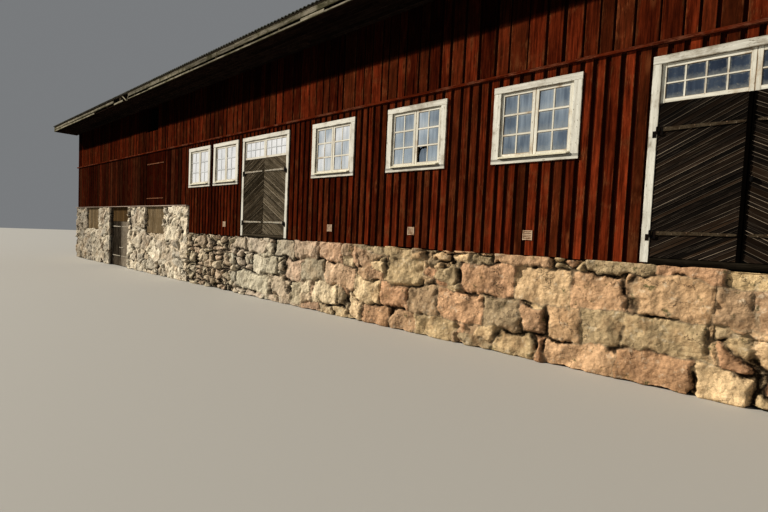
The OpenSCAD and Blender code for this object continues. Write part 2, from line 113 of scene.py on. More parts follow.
def mapRange(tree, value, fromLow, fromHigh, toLow=0.0, toHigh=1.0, smooth=False):
    node = addNode(tree, "ShaderNodeMapRange", {
        "Value": value, "From Min": fromLow, "From Max": fromHigh, "To Min": toLow, "To Max": toHigh},
        interpolation_type="SMOOTHSTEP" if smooth else "LINEAR")
    return node.outputs[0]


def mixColour(tree, factor, first, second, blend="MIX"):
    colours = [c if isinstance(c, bpy.types.NodeSocket) else (*c, 1.0) for c in (first, second)]
    return addNode(tree, "ShaderNodeMix", {0: factor, 6: colours[0], 7: colours[1]},
                   data_type="RGBA", blend_type=blend).outputs[2]


def colourRamp(tree, factor, stops):
    node = addNode(tree, "ShaderNodeValToRGB", {"Fac": factor})
    elements = node.color_ramp.elements
    for i, (place, colour) in enumerate(stops):
        element = elements[i] if i < 2 else elements.new(place)
        element.position = place
        element.color = (*colour, 1.0)
    return node.outputs[0]


def objectPlace(tree):
    return addNode(tree, "ShaderNodeTexCoord").outputs["Object"]


def named(tree, name, output="Fac"):
    return addNode(tree, "ShaderNodeAttribute", attribute_name=name).outputs[output]


def stretched(tree, vector, scale):
    return addNode(tree, "ShaderNodeMapping", {"Vector": vector, "Scale": scale}).outputs[0]


def axis(tree, vector, index):
    return addNode(tree, "ShaderNodeSeparateXYZ", {0: vector}).outputs[index]


def joined(tree, x, y, z):
    return addNode(tree, "ShaderNodeCombineXYZ", {0: x, 1: y, 2: z}).outputs[0]


def dimmed(tree, colour, share):
    grey = addNode(tree, "ShaderNodeCombineColor", {0: share, 1: share, 2: share}).outputs[0]
    return mixColour(tree, 1.0, colour, grey, "MULTIPLY")


def newMaterial(name):
    material = bpy.data.materials.new(name)
    material.use_nodes = True
    material.node_tree.nodes.clear()
    return material, material.node_tree


def finishMaterial(tree, colour, roughness, height=None, bump=(0.3, 0.004), **sockets):
    shader = addNode(tree, "ShaderNodeBsdfPrincipled", {"Base Color": colour, "Roughness": roughness, **sockets})
    if height is not None:
        relief = addNode(tree, "ShaderNodeBump", {"Strength": bump[0], "Distance": bump[1], "Height": height})
        tree.links.new(relief.outputs[0], shader.inputs["Normal"])
    output = addNode(tree, "ShaderNodeOutputMaterial")
    tree.links.new(shader.outputs[0], output.inputs[0])


def grainVector(tree, along):
    # Boards carry their own grain coordinates; a plain solid takes them from its place, turned along its length
    if along == "board":
        return named(tree, "grain", "Vector")
    turn = {"z": (0, 0, 0), "x": (0, math.pi / 2, 0), "y": (math.pi / 2, 0, 0)}[along]
    place = objectPlace(tree)
    return addNode(tree, "ShaderNodeMapping", {"Vector": place, "Rotation": turn}).outputs[0]


def timberMaterial(name, paint, bare, wear=0.45, along="board", tint=0.5, rough=0.85, relief=0.006, gloss=0.0,
                   arris=0.3, lap=None, knots=False, brown=None, dusk=None, fadeAndShade=None, flecks=None):
    # paint: dark and light coat; bare: dark and light wood under it; wear: how much of the wood shows
    material, tree = newMaterial(name)
    grain = grainVector(tree, along)
    streaks = stretched(tree, grain, (1.0, 1.0, 0.045))
    fibre = noise(tree, streaks, 210.0, 5.0, 0.7)
    broad = noise(tree, streaks, 30.0, 4.0, 0.6, distortion=0.35)
    patch = noise(tree, grain, 3.2, 4.0, 0.6)
    tone = named(tree, "tone")
    across = axis(tree, named(tree, "unit", "Vector"), 0)
    coat = mixColour(tree, mapRange(tree, broad, 0.3, 0.66), paint[0], paint[1])
    if brown:
        # some boards have gone brown
        share = mapRange(tree, maths(tree, "FRACT", maths(tree, "MULTIPLY", tone, 7.3)), 0.5, 0.95, 0.0, 0.6)
        coat = mixColour(tree, share, coat, brown)
        # faded and sooty stretches along a board
        stretch = noise(tree, stretched(tree, grain, (1.0, 1.0, 0.3)), 9.0, 5.0, 0.65)
        faded = mapRange(tree, stretch, 0.32, 0.68, 0.66, 1.36)
    wood = mixColour(tree, mapRange(tree, fibre, 0.35, 0.65), bare[0], bare[1])
    rubbed = mapRange(tree, maths(tree, "ABSOLUTE", across), 0.34, 0.5, 0.0, arris * 0.4)
    worn = maths(tree, "ADD", maths(tree, "MULTIPLY", fibre, 0.45), maths(tree, "MULTIPLY", patch, 0.55))
    worn = maths(tree, "ADD", worn, rubbed)
    shows = mapRange(tree, worn, 0.62 - wear * 0.25, 0.72 - wear * 0.25, smooth=True)
    colour = mixColour(tree, shows, coat, wood)
    shade = mapRange(tree, tone, 0.0, 1.0, 1.0 - tint * 0.5, 1.0 + tint * 0.5)
    lightness = maths(tree, "MULTIPLY", shade, mapRange(tree, fibre, 0.3, 0.7, 0.74, 1.2))
    if brown:
        lightness = maths(tree, "MULTIPLY", lightness, faded)
    colour = dimmed(tree, colour, lightness)
    if knots:
        # dark knots in a ring of rubbed, bright grain
        spread = stretched(tree, grain, (5.5, 5.5, 1.5))
        knot = addNode(tree, "ShaderNodeTexVoronoi", {"Vector": spread, "Scale": 1.0, "Randomness": 1.0})
        rare = maths(tree, "GREATER_THAN", axis(tree, knot.outputs["Color"], 0), 0.62)
        reach = maths(tree, "ADD", knot.outputs["Distance"], mapRange(tree, fibre, 0.3, 0.7, -0.03, 0.03))
        halo = maths(tree, "MULTIPLY", rare, mapRange(tree, reach, 0.10, 0.30, 0.55, 0.0, smooth=True))
        colour = mixColour(tree, halo, colour, bare[1])
        core = maths(tree, "MULTIPLY", rare, mapRange(tree, reach, 0.05, 0.10, 0.9, 0.0, smooth=True))
        colour = mixColour(tree, core, colour, paint[0])
    if lap:
        # the lower arris of a lapped board is pale, partly worn and partly a painted highlight, more on some boards
        # than on others; scratches are worn pale too
        edge = mapRange(tree, across, 0.415, 0.445, smooth=True)
        stretch = mapRange(tree, noise(tree, streaks, 14.0, 3.0), 0.4, 0.6, 0.12, 1.0, smooth=True)
        stretch = maths(tree, "MULTIPLY", stretch, mapRange(tree, tone, 0.0, 1.0, 0.2, 1.1))
        thread = stretched(tree, grain, (1.0, 1.0, 0.012))
        scratch = mapRange(tree, noise(tree, thread, 130.0, 3.0, 0.6), 0.6, 0.7, 0.0, 0.22, smooth=True)
        colour = mixColour(tree, maths(tree, "MAXIMUM", maths(tree, "MULTIPLY", edge, stretch), scratch), colour, lap)
    if flecks:
        # small chips where the paint has gone
        chip = noise(tree, stretched(tree, grain, (1.0, 1.0, 0.3)), 42.0, 4.0, 0.6)
        colour = mixColour(tree, mapRange(tree, chip, flecks, flecks + 0.04, 0.0, 0.8, smooth=True), colour, bare[0])
    for direction, span in ((2, dusk), (0, fadeAndShade)):
        # darker or paler over a span of height, then over a span along the wall; some of these spans are painted
        # shade: under the eave, under the transom, under the weather boards and towards the west end
        if span:
            along = axis(tree, objectPlace(tree), direction)
            colour = dimmed(tree, colour, mapRange(tree, along, *span, smooth=True))
    height = maths(tree, "ADD", maths(tree, "MULTIPLY", fibre, 0.7), maths(tree, "MULTIPLY", broad, 0.5))
    finishMaterial(tree, colour, mapRange(tree, broad, 0.3, 0.7, rough - 0.08, rough + 0.1), height, (0.6, relief),
                   **{"Specular IOR Level": gloss})
    return material


def plankMaterial(name, dark, light, across, pitch=0.15, rough=0.85):
    # Planks drawn on a plain floor or roof deck, with dark joints
    material, tree = newMaterial(name)
    place = objectPlace(tree)
    step = maths(tree, "DIVIDE", axis(tree, place, across), pitch)
    board = maths(tree, "FLOOR", step)
    joint = maths(tree, "ABSOLUTE", maths(tree, "SUBTRACT", maths(tree, "FRACT", step), 0.5))
    toss = addNode(tree, "ShaderNodeTexWhiteNoise", {"W": board}, noise_dimensions="1D").outputs["Value"]
    long = (1.0, 0.06, 1.0) if across == 0 else (0.06, 1.0, 1.0)
    grain = noise(tree, stretched(tree, place, long), 60.0, 4.0)
    colour = mixColour(tree, mapRange(tree, grain, 0.3, 0.7), dark, light)
    shade = mapRange(tree, toss, 0.0, 1.0, 0.75, 1.15)
    colour = dimmed(tree, colour, shade)
    colour = mixColour(tree, mapRange(tree, joint, 0.47, 0.49), colour, (0.02, 0.017, 0.014))
    finishMaterial(tree, colour, rough, grain, (0.5, 0.004))
    return material


def stoneCells(tree, cell, split, coursed):
    # Big stones, in rough courses or not, and small ones in the places of some of them.
    # Gives how far the joint is, three chance numbers for each stone, and how its face leans.
    def layer(vector):
        near = addNode(tree, "ShaderNodeTexVoronoi", {"Vector": vector, "Scale": 1.0, "Randomness": 0.85})
        edge = addNode(tree, "ShaderNodeTexVoronoi", {"Vector": vector, "Scale": 1.0, "Randomness": 0.85},
                       feature="DISTANCE_TO_EDGE").outputs["Distance"]
        lean = vectorMaths(tree, "DOT_PRODUCT", vectorMaths(tree, "SUBTRACT", vector, near.outputs["Position"]),
                           vectorMaths(tree, "SUBTRACT", near.outputs["Color"], (0.5, 0.5, 0.5)))
        return edge, near.outputs["Color"], lean
    if coursed:
        x, y, z = addNode(tree, "ShaderNodeSeparateXYZ", {0: cell}).outputs
        course = maths(tree, "FLOOR", z)
        inCourse = maths(tree, "ABSOLUTE", maths(tree, "SUBTRACT", maths(tree, "FRACT", z), 0.5))
        shifted = maths(tree, "ADD", x, maths(tree, "MULTIPLY", course, 4.37))
        row = joined(tree, shifted, y, maths(tree, "ADD", course, 0.5))
        bigEdge, bigToss, bigLean = layer(row)
        courseEdge = maths(tree, "MULTIPLY", maths(tree, "SUBTRACT", 0.5, inCourse), 0.6)
        bigEdge = maths(tree, "MINIMUM", bigEdge, courseEdge)
    else:
        bigEdge, bigToss, bigLean = layer(cell)
    small = vectorMaths(tree, "ADD", vectorMaths(tree, "SCALE", cell, 1.7), (7.3, 2.9, 5.1))
    smallEdge, smallToss, smallLean = layer(small)
    picked = maths(tree, "LESS_THAN", axis(tree, bigToss, 2), split)
    smallEdge = maths(tree, "MINIMUM", bigEdge, maths(tree, "DIVIDE", smallEdge, 1.7))

    def choose(first, second):
        return maths(tree, "ADD", first, maths(tree, "MULTIPLY", picked, maths(tree, "SUBTRACT", second, first)))
    toss = vectorMaths(tree, "ADD", bigToss, vectorMaths(
        tree, "SCALE", vectorMaths(tree, "SUBTRACT", smallToss, bigToss), picked))
    return choose(bigEdge, smallEdge), toss, choose(bigLean, maths(tree, "DIVIDE", smallLean, 1.7))


def facets(tree, place, toss, scale, wander=0.3):
    # Broken faces with sharp edges, turned another way on each stone: how far a point lies from its middle
    push = vectorMaths(tree, "SUBTRACT", noise(tree, place, scale * 0.8, 2.0, 0.6, 1), (0.5, 0.5, 0.5))
    bent = vectorMaths(tree, "ADD", place, vectorMaths(tree, "SCALE", push, wander / scale))
    spin = vectorMaths(tree, "SCALE", toss, 6.28)
    turned = addNode(tree, "ShaderNodeVectorRotate", {"Vector": bent, "Rotation": spin},
                     rotation_type="EULER_XYZ").outputs[0]
    face = addNode(tree, "ShaderNodeTexVoronoi", {"Vector": turned, "Scale": scale, "Randomness": 1.0},
                   distance="CHEBYCHEV")
    return face.outputs["Distance"]


def openJoints(tree, place, split, stops):
    # Where the joints gape: 1 for an open one, 0 for one filled flush. They all do where only small stones lie.
    gape = mapRange(tree, noise(tree, place, 1.6, 3.0, 0.62), stops[0], stops[1], 1.0, 0.0, smooth=True)
    return maths(tree, "MAXIMUM", gape, mapRange(tree, split, 0.5, 0.78))


def jointBreadth(tree, place, gape):
    # Open joints widen into voids here and there
    return maths(tree, "MULTIPLY", gape, mapRange(tree, noise(tree, place, 3.1, 3.0, 0.6), 0.38, 0.62, 0.008, 0.085))


def stoneMaterial(name, tones, joints, stops, coursed, moss=0.0, fine=1.0):
    # Same stones as the relief: both work from the stone coordinates that the relief tree stored
    material, tree = newMaterial(name)
    cell = named(tree, "stoneCell", "Vector")
    split = named(tree, "split")
    place = objectPlace(tree)
    edge, toss, _ = stoneCells(tree, cell, split, coursed)
    pick = addNode(tree, "ShaderNodeSeparateColor", {0: toss})
    face = colourRamp(tree, pick.outputs[0], [(i / (len(tones) - 1), t) for i, t in enumerate(tones)])
    blotch = noise(tree, place, 4.0, 6.0, 0.66)
    crystal = noise(tree, place, 85.0, 3.0, 0.75)
    pits = noise(tree, place, 21.0, 6.0, 0.7)
    chip = facets(tree, place, toss, 15.0)
    lightness = maths(tree, "MULTIPLY", mapRange(tree, blotch, 0.3, 0.7, 0.6, 1.36),
                      mapRange(tree, crystal, 0.3, 0.7, 1.0 - 0.24 * fine, 1.0 + 0.22 * fine))
    lightness = maths(tree, "MULTIPLY", lightness, mapRange(tree, pits, 0.34, 0.43, 1.0 - 0.22 * fine, 1.03))
    chipped = mapRange(tree, chip, 0.15, 0.6, 1.0 + 0.08 * fine, 1.0 - 0.1 * fine)
    lightness = maths(tree, "MULTIPLY", lightness, chipped)
    face = dimmed(tree, face, lightness)
    rust = mapRange(tree, noise(tree, place, 2.3, 5.0, 0.6), 0.5, 0.68, 0.0, 0.4, smooth=True)
    if coursed:
        # greyer next to the high basement, browner at the far doors
        along = mapRange(tree, axis(tree, place, 0), 1.0, 5.5)
        rust = maths(tree, "MULTIPLY", rust, mapRange(tree, along, 0.0, 1.0, 0.3, 1.2))
        face = mixColour(tree, mapRange(tree, along, 0.0, 0.8, 0.5, 0.0), face, (0.58, 0.535, 0.45))
        face = mixColour(tree, 1.0, face, mixColour(tree, along, (0.97, 0.965, 0.91), (0.89, 0.73, 0.53)), "MULTIPLY")
        face = mixColour(tree, mapRange(tree, split, 0.5, 0.78), face,
                         mixColour(tree, 1.0, face, (1.0, 0.94, 0.88), "MULTIPLY"))
    else:
        # lighter towards the corner with the low base
        spot = addNode(tree, "ShaderNodeSeparateXYZ", {0: place}).outputs
        face = dimmed(tree, face, mapRange(tree, spot[0], -14.8, -9.5, 0.74, 1.16))
        # painted shade on the jambs of the basement doorway
        fromDoor = maths(tree, "ABSOLUTE", maths(tree, "SUBTRACT", spot[0], cellarMid))
        besideDoor = mapRange(tree, fromDoor, 1.09, 1.15, 0.86, 0.0)
        jambShade = maths(tree, "MULTIPLY", besideDoor, mapRange(tree, maths(tree, "ADD", spot[1], stoneOut), 0.03, 0.09))
        jambShade = maths(tree, "MULTIPLY", jambShade, maths(tree, "LESS_THAN", spot[1], 0.0))
        face = mixColour(tree, jambShade, face, (0.012, 0.009, 0.007))
    face = mixColour(tree, rust, face, (0.33, 0.20, 0.105))
    lichen = mapRange(tree, noise(tree, place, 9.0, 5.0, 0.7), 0.56, 0.68, 0.0, 0.35, smooth=True)
    face = mixColour(tree, lichen, face, (0.70, 0.63, 0.49))
    # thin dark cracks
    fissure = maths(tree, "ABSOLUTE", maths(tree, "SUBTRACT", noise(tree, place, 2.7, 5.0, 0.62), 0.5))
    fissure = maths(tree, "MULTIPLY", mapRange(tree, fissure, 0.002, 0.011, 0.8, 0.0),
                    mapRange(tree, noise(tree, place, 1.7, 2.0), 0.48, 0.56, smooth=True))
    face = mixColour(tree, fissure, face, (0.05, 0.035, 0.022))
    # open joints are painted near-black as the shade in their voids; filled joints take the mortar colour
    gape = openJoints(tree, place, split, stops)
    reach = maths(tree, "ADD", edge, mapRange(tree, pits, 0.3, 0.7, -0.02, 0.02))
    breadth = maths(tree, "MULTIPLY", jointBreadth(tree, place, gape), 0.75)
    deep = mapRange(tree, reach, 0.006, maths(tree, "ADD", 0.024, breadth), 1.0, 0.0, smooth=True)
    deep = maths(tree, "MULTIPLY", deep, mapRange(tree, gape, 0.0, 1.0, 0.5, 0.97))
    colour = mixColour(tree, deep, face, mixColour(tree, gape, joints[1], joints[0]))
    if moss:
        green = mapRange(tree, noise(tree, place, 6.0, 5.0, 0.7), 0.62 - moss, 0.7, 0.0, 0.8, smooth=True)
        colour = mixColour(tree, green, colour, (0.06, 0.07, 0.025))
    height = maths(tree, "SUBTRACT", maths(tree, "ADD", maths(tree, "MULTIPLY", pits, 0.34 * fine), maths(
        tree, "MULTIPLY", crystal, 0.15 * fine)), maths(tree, "MULTIPLY", chip, 0.55))
    finishMaterial(tree, colour, 0.9, height, (1.0, 0.034), **{"Specular IOR Level": 0.1})
    return material


def metalMaterial(name, dark, light, rust, metallic=0.25, rough=0.68, gloss=0.5):
    material, tree = newMaterial(name)
    place = objectPlace(tree)
    patch = noise(tree, place, 14.0, 5.0, 0.65)
    fine = noise(tree, place, 130.0, 3.0, 0.6)
    colour = mixColour(tree, mapRange(tree, fine, 0.35, 0.65), dark, light)
    colour = mixColour(tree, mapRange(tree, patch, 0.46, 0.62, smooth=True), colour, rust)
    finishMaterial(tree, colour, mapRange(tree, patch, 0.3, 0.7, rough - 0.12, rough + 0.15), fine, (0.5, 0.002),
                   Metallic=metallic, **{"Specular IOR Level": gloss})
    return material


def glassMaterial(name):
    # Old panes, some clear and dark, some whitened by haze and by painted sky reflection, with streaks
    material, tree = newMaterial(name)
    place = objectPlace(tree)
    tone = named(tree, "tone")
    hazeAndReflection = noise(tree, place, 1.9, 2.0, 0.5)
    hung = stretched(tree, place, (1.0, 1.0, 0.09))
    streak = mapRange(tree, noise(tree, hung, 20.0, 3.0, 0.5), 0.3, 0.7, -0.06, 0.06)
    mixed = maths(tree, "ADD", maths(tree, "ADD", tone, streak), mapRange(tree, hazeAndReflection, 0.3, 0.7, -0.07, 0.06))
    colour = colourRamp(tree, mixed, [(0.05, (0.018, 0.028, 0.052)), (0.2, (0.040, 0.058, 0.092)),
                                      (0.4, (0.112, 0.148, 0.20)),
                                      (0.62, (0.33, 0.40, 0.48)), (0.9, (0.82, 0.85, 0.90))])
    dirt = noise(tree, place, 30.0, 5.0, 0.7)
    colour = mixColour(tree, mapRange(tree, dirt, 0.56, 0.76, 0.0, 0.35, smooth=True), colour, (0.30, 0.27, 0.20))
    # dust along the rims, most of it at the foot
    left, _, up = addNode(tree, "ShaderNodeSeparateXYZ", {0: named(tree, "unit", "Vector")}).outputs
    rim = maths(tree, "MAXIMUM", maths(tree, "ABSOLUTE", left), maths(tree, "ABSOLUTE", up))
    rim = maths(tree, "ADD", rim, mapRange(tree, dirt, 0.3, 0.7, -0.05, 0.05))
    rim = mapRange(tree, rim, 0.36, 0.5, 0.0, 0.4, smooth=True)
    foot = mapRange(tree, maths(tree, "SUBTRACT", mapRange(tree, dirt, 0.3, 0.7, -0.1, 0.1), up), 0.1, 0.5, 0.0, 0.35)
    dust = maths(tree, "MULTIPLY", maths(tree, "MAXIMUM", rim, foot), mapRange(tree, tone, 0.3, 0.9, 1.0, 0.35))
    colour = mixColour(tree, dust, colour, (0.46, 0.46, 0.40))
    gloss = mapRange(tree, hazeAndReflection, 0.3, 0.7, 0.06, 0.22)
    finishMaterial(tree, colour, gloss, noise(tree, place, 7.0, 2.0), (0.25, 0.006),
                   **{"Specular IOR Level": 0.6, "Coat Weight": 0.3, "Coat Roughness": 0.05})
    return material


def sheetMaterial(name):
    # Old grey corrugated sheets with moss and dark runs down the slope
    material, tree = newMaterial(name)
    place = objectPlace(tree)
    tone = named(tree, "tone")
    runs = noise(tree, stretched(tree, place, (1.0, 0.12, 0.12)), 9.0, 5.0, 0.65)
    patch = noise(tree, place, 1.6, 6.0, 0.66)
    fine = noise(tree, place, 48.0, 4.0, 0.7)
    colour = colourRamp(tree, runs, [(0.3, (0.075, 0.08, 0.075)), (0.55, (0.15, 0.155, 0.145)),
                                     (0.75, (0.24, 0.24, 0.22))])
    shade = maths(tree, "MULTIPLY", mapRange(tree, tone, 0.0, 1.0, 0.8, 1.2),
                  mapRange(tree, fine, 0.3, 0.7, 0.8, 1.2))
    colour = dimmed(tree, colour, shade)
    lichen = mapRange(tree, noise(tree, place, 13.0, 4.0, 0.7), 0.6, 0.68, 0.0, 0.7, smooth=True)
    colour = mixColour(tree, lichen, colour, (0.30, 0.31, 0.26))
    moss = mapRange(tree, maths(tree, "ADD", maths(tree, "MULTIPLY", patch, 0.7), maths(tree, "MULTIPLY", fine, 0.3)),
                    0.5, 0.6, 0.0, 0.85, smooth=True)
    colour = mixColour(tree, moss, colour, (0.055, 0.065, 0.028))
    finishMaterial(tree, colour, 0.9, fine, (0.6, 0.008))
    return material


jointStops = {"rubble": (0.4, 0.54), "granite": (0.43, 0.57)}
redCoat = ((0.030, 0.0050, 0.0020), (0.175, 0.033, 0.011))
# Timber: dark and light coat, dark and light wood under it, and what else differs
timbers = {
    # redBoards: fadeAndShade darkens the boards towards the west end as painted shade; the dusk span makes them paler
    # at the foot
    "redBoards": (redCoat, ((0.04, 0.014, 0.006), (0.19, 0.066, 0.026)), {"wear": 0.3, "tint": 0.9, "relief": 0.008,
        "knots": True, "brown": (0.06, 0.021, 0.008), "dusk": (1.7, 2.9, 1.13, 1.0),
        "fadeAndShade": (-4.0, 10.0, 0.53, 0.95)}),
    # loftBoards: the dusk span darkens the boards above z 5.4 to 0.22 as painted shade under the eave; fadeAndShade
    # darkens them towards the west end as painted shade
    "loftBoards": (redCoat, ((0.04, 0.014, 0.006), (0.19, 0.066, 0.026)), {"wear": 0.3, "tint": 0.9, "relief": 0.008,
        "knots": True, "brown": (0.06, 0.021, 0.008), "dusk": (5.29, 5.40, 1.0, 0.22),
        "fadeAndShade": (-7.0, 3.0, 0.60, 0.76)}),
    "dimBoards": (((0.015, 0.0034, 0.0016), (0.064, 0.0125, 0.0048)),
        ((0.020, 0.0075, 0.0035), (0.075, 0.025, 0.0105)),
        {"wear": 0.42, "tint": 1.0, "relief": 0.009, "brown": (0.036, 0.0165, 0.008)}),
    # redWall, the under-boards seen between the cover boards: darker than the cover boards, partly from less bleached
    # paint and partly as painted shade of the gaps; its dusk span darkens it above z 5.42 as painted shade under the
    # eave
    "redWall": (((0.022, 0.0042, 0.002), (0.075, 0.0145, 0.006)), ((0.028, 0.011, 0.005), (0.08, 0.027, 0.012)),
        {"wear": 0.35, "along": "z", "dusk": (5.28, 5.42, 1.0, 0.3)}),
    "redHatch": (((0.013, 0.0022, 0.0008), (0.052, 0.0085, 0.0028)), ((0.018, 0.0055, 0.002), (0.055, 0.017, 0.006)),
        {"wear": 0.45, "tint": 0.6}),
    "redBatten": (redCoat, ((0.09, 0.030, 0.016), (0.25, 0.10, 0.058)), {"wear": 0.58, "along": "x"}),
    "wornBatten": (((0.07, 0.024, 0.012), (0.19, 0.085, 0.05)), ((0.11, 0.055, 0.032), (0.28, 0.16, 0.10)),
        {"wear": 0.5, "tint": 0.4}),
    "casingPaint": (((0.52, 0.50, 0.43), (0.755, 0.745, 0.67)), ((0.17, 0.15, 0.11), (0.42, 0.38, 0.31)),
        {"wear": 0.34, "tint": 0.1, "rough": 0.6, "relief": 0.003, "gloss": 0.3, "arris": 0.25, "flecks": 0.63}),
    # footPaint: its dusk span darkens the top of each casing foot to 0.42 as painted shade under the weather board
    "footPaint": (((0.52, 0.50, 0.43), (0.755, 0.745, 0.67)), ((0.17, 0.15, 0.11), (0.42, 0.38, 0.31)), {"wear": 0.4,
        "tint": 0.1, "rough": 0.6, "relief": 0.003, "gloss": 0.3, "arris": 0.25, "flecks": 0.63,
        "dusk": (windowFoot + 0.032, windowFoot + 0.052, 1.0, 0.42)}),
    "sashPaint": (((0.54, 0.515, 0.43), (0.80, 0.78, 0.69)), ((0.24, 0.175, 0.11), (0.48, 0.39, 0.28)), {"wear": 0.34,
        "tint": 0.12, "rough": 0.6, "relief": 0.003, "gloss": 0.3, "arris": 0.4, "flecks": 0.66}),
    "dripPaint": (((0.74, 0.69, 0.52), (0.92, 0.88, 0.71)), ((0.30, 0.24, 0.14), (0.55, 0.47, 0.32)),
        {"wear": 0.2, "tint": 0.1, "rough": 0.6, "relief": 0.003, "gloss": 0.3, "arris": 0.2}),
    # paleSash: the cream of the glazing bars darkened to grey-blue, as painted shade on the bars of the far windows
    # and the first door's transom
    "paleSash": (((0.42, 0.45, 0.48), (0.63, 0.66, 0.69)), ((0.26, 0.26, 0.25), (0.42, 0.42, 0.41)),
        {"wear": 0.3, "tint": 0.1, "rough": 0.6, "relief": 0.003, "gloss": 0.3, "arris": 0.2}),
    # tarredDoor: its dusk span darkens the leaves upward from z 2.9, to half at z 3.5, as painted shade under the
    # transom
    "tarredDoor": (((0.0050, 0.0037, 0.0029), (0.0150, 0.0106, 0.0080)),
        ((0.009, 0.0064, 0.0049), (0.032, 0.0225, 0.0165)), {"wear": 0.36, "tint": 1.1, "rough": 0.75, "gloss": 0.04,
        "lap": (0.37, 0.31, 0.24), "brown": (0.034, 0.020, 0.011), "dusk": (2.9, 3.5, 1.0, 0.5)}),
    "tarredStrip": (((0.0012, 0.001, 0.0008), (0.003, 0.0022, 0.0016)),
        ((0.002, 0.0015, 0.001), (0.005, 0.0036, 0.0026)), {"wear": 0.3, "tint": 0.4, "rough": 0.9}),
    "brownDoor": (((0.0145, 0.0110, 0.0068), (0.046, 0.036, 0.023)), ((0.030, 0.0235, 0.0155), (0.088, 0.070, 0.049)),
        {"wear": 0.45, "tint": 0.8, "lap": (0.42, 0.36, 0.28)}),
    "greyDoor": (((0.037, 0.0300, 0.0195), (0.112, 0.092, 0.063)), ((0.065, 0.053, 0.038), (0.180, 0.150, 0.110)),
        {"wear": 0.5, "tint": 0.8, "lap": (0.66, 0.57, 0.45)}),
    "cellarDark": (((0.014, 0.011, 0.0078), (0.042, 0.034, 0.025)), ((0.026, 0.021, 0.016), (0.080, 0.066, 0.050)),
        {"wear": 0.45, "tint": 0.7, "dusk": (0.32, 0.44, 2.2, 1.0)}),
    "cellarGrey": (((0.105, 0.088, 0.068), (0.24, 0.205, 0.160)), ((0.14, 0.118, 0.092), (0.34, 0.295, 0.235)),
        {"wear": 0.5, "tint": 0.8, "dusk": (0.32, 0.44, 1.25, 1.0)}),
    "cellarPanel": (((0.058, 0.036, 0.016), (0.135, 0.086, 0.040)), ((0.072, 0.048, 0.024), (0.155, 0.106, 0.060)),
        {"wear": 0.4, "tint": 0.5}),
    "bareBoards": (((0.11, 0.08, 0.045), (0.22, 0.165, 0.10)), ((0.13, 0.10, 0.065), (0.28, 0.22, 0.145)),
        {"wear": 0.5, "tint": 0.5}),
    "greyBeam": (((0.30, 0.235, 0.19), (0.56, 0.46, 0.39)), ((0.33, 0.27, 0.22), (0.62, 0.53, 0.46)),
        {"wear": 0.5, "along": "x", "tint": 0.3, "fadeAndShade": (-12.0, -6.0, 0.78, 1.12)}),
    "sillBeam": (((0.040, 0.032, 0.022), (0.10, 0.082, 0.058)), ((0.05, 0.041, 0.029), (0.13, 0.108, 0.078)),
        {"wear": 0.5, "along": "x", "tint": 0.3, "dusk": (1.64, 1.665, 0.4, 1.0), "fadeAndShade": (2.5, 8.5, 1.0, 0.3)}),
    "greyPost": (((0.10, 0.075, 0.05), (0.20, 0.16, 0.11)), ((0.12, 0.10, 0.07), (0.26, 0.22, 0.16)),
        {"wear": 0.5, "along": "z", "tint": 0.3}),
    "eaveBoards": (((0.075, 0.068, 0.050), (0.29, 0.265, 0.21)), ((0.03, 0.03, 0.016), (0.13, 0.12, 0.078)),
        {"wear": 0.55, "tint": 1.3}),
    # soffitBoards: nearly black, as painted shade of the eave's underside
    "soffitBoards": (((0.0070, 0.0042, 0.0032), (0.022, 0.0135, 0.0100)),
        ((0.012, 0.0080, 0.0060), (0.036, 0.024, 0.018)), {"wear": 0.5, "tint": 0.6, "rough": 0.95}),
}
# Iron: dark, light and rust colours, metallic, roughness, gloss
irons = {
    "darkIron": ((0.060, 0.045, 0.030), (0.19, 0.15, 0.105), (0.13, 0.08, 0.045), 0.1, 0.75),
    "blackIron": ((0.002, 0.0017, 0.0015), (0.006, 0.005, 0.0045), (0.01, 0.0055, 0.0035), 0.0, 0.85, 0.1),
    "strapIron": ((0.024, 0.018, 0.011), (0.105, 0.081, 0.052), (0.038, 0.025, 0.014), 0.0, 0.8, 0.1),
    "greyIron": ((0.25, 0.225, 0.18), (0.50, 0.465, 0.39), (0.26, 0.215, 0.16), 0.0, 0.8, 0.1),
    "ventPlate": ((0.42, 0.31, 0.21), (0.62, 0.47, 0.33), (0.32, 0.20, 0.12), 0.0, 0.75),
}
finishes = {
    "roofDeck": plankMaterial("roofDeck", (0.08, 0.06, 0.04), (0.19, 0.15, 0.10), 0),
    "floorPlanks": plankMaterial("floorPlanks", (0.10, 0.075, 0.05), (0.22, 0.17, 0.115), 1),
    "rubble": stoneMaterial("rubble",
        [(0.66, 0.59, 0.46), (0.45, 0.41, 0.34), (0.58, 0.49, 0.37), (0.78, 0.71, 0.57), (0.37, 0.31, 0.24)],
        ((0.018, 0.012, 0.008), (0.44, 0.38, 0.28)), jointStops["rubble"], False, fine=0.7),
    "granite": stoneMaterial("granite",
        [(0.68, 0.62, 0.49), (0.40, 0.385, 0.34), (0.62, 0.46, 0.38), (0.80, 0.74, 0.61), (0.46, 0.32, 0.255)],
        ((0.014, 0.009, 0.005), (0.30, 0.24, 0.16)), jointStops["granite"], True, 0.03),
    "paneGlass": glassMaterial("paneGlass"),
    "roofSheet": sheetMaterial("roofSheet"),
}
for name, (coat, wood, look) in timbers.items():
    finishes[name] = timberMaterial(name, coat, wood, **look)
for name, look in irons.items():
    finishes[name] = metalMaterial(name, *look)
print("materials made:", len(finishes))


def newTree(name, sockets):
    tree = bpy.data.node_groups.new(name, "GeometryNodeTree")
    tree.interface.new_socket(name="Geometry", in_out="OUTPUT", socket_type="NodeSocketGeometry")
    for label, kind in sockets:
        tree.interface.new_socket(name=label, in_out="INPUT", socket_type="NodeSocket" + kind)
    return tree, tree.nodes.new("NodeGroupInput").outputs


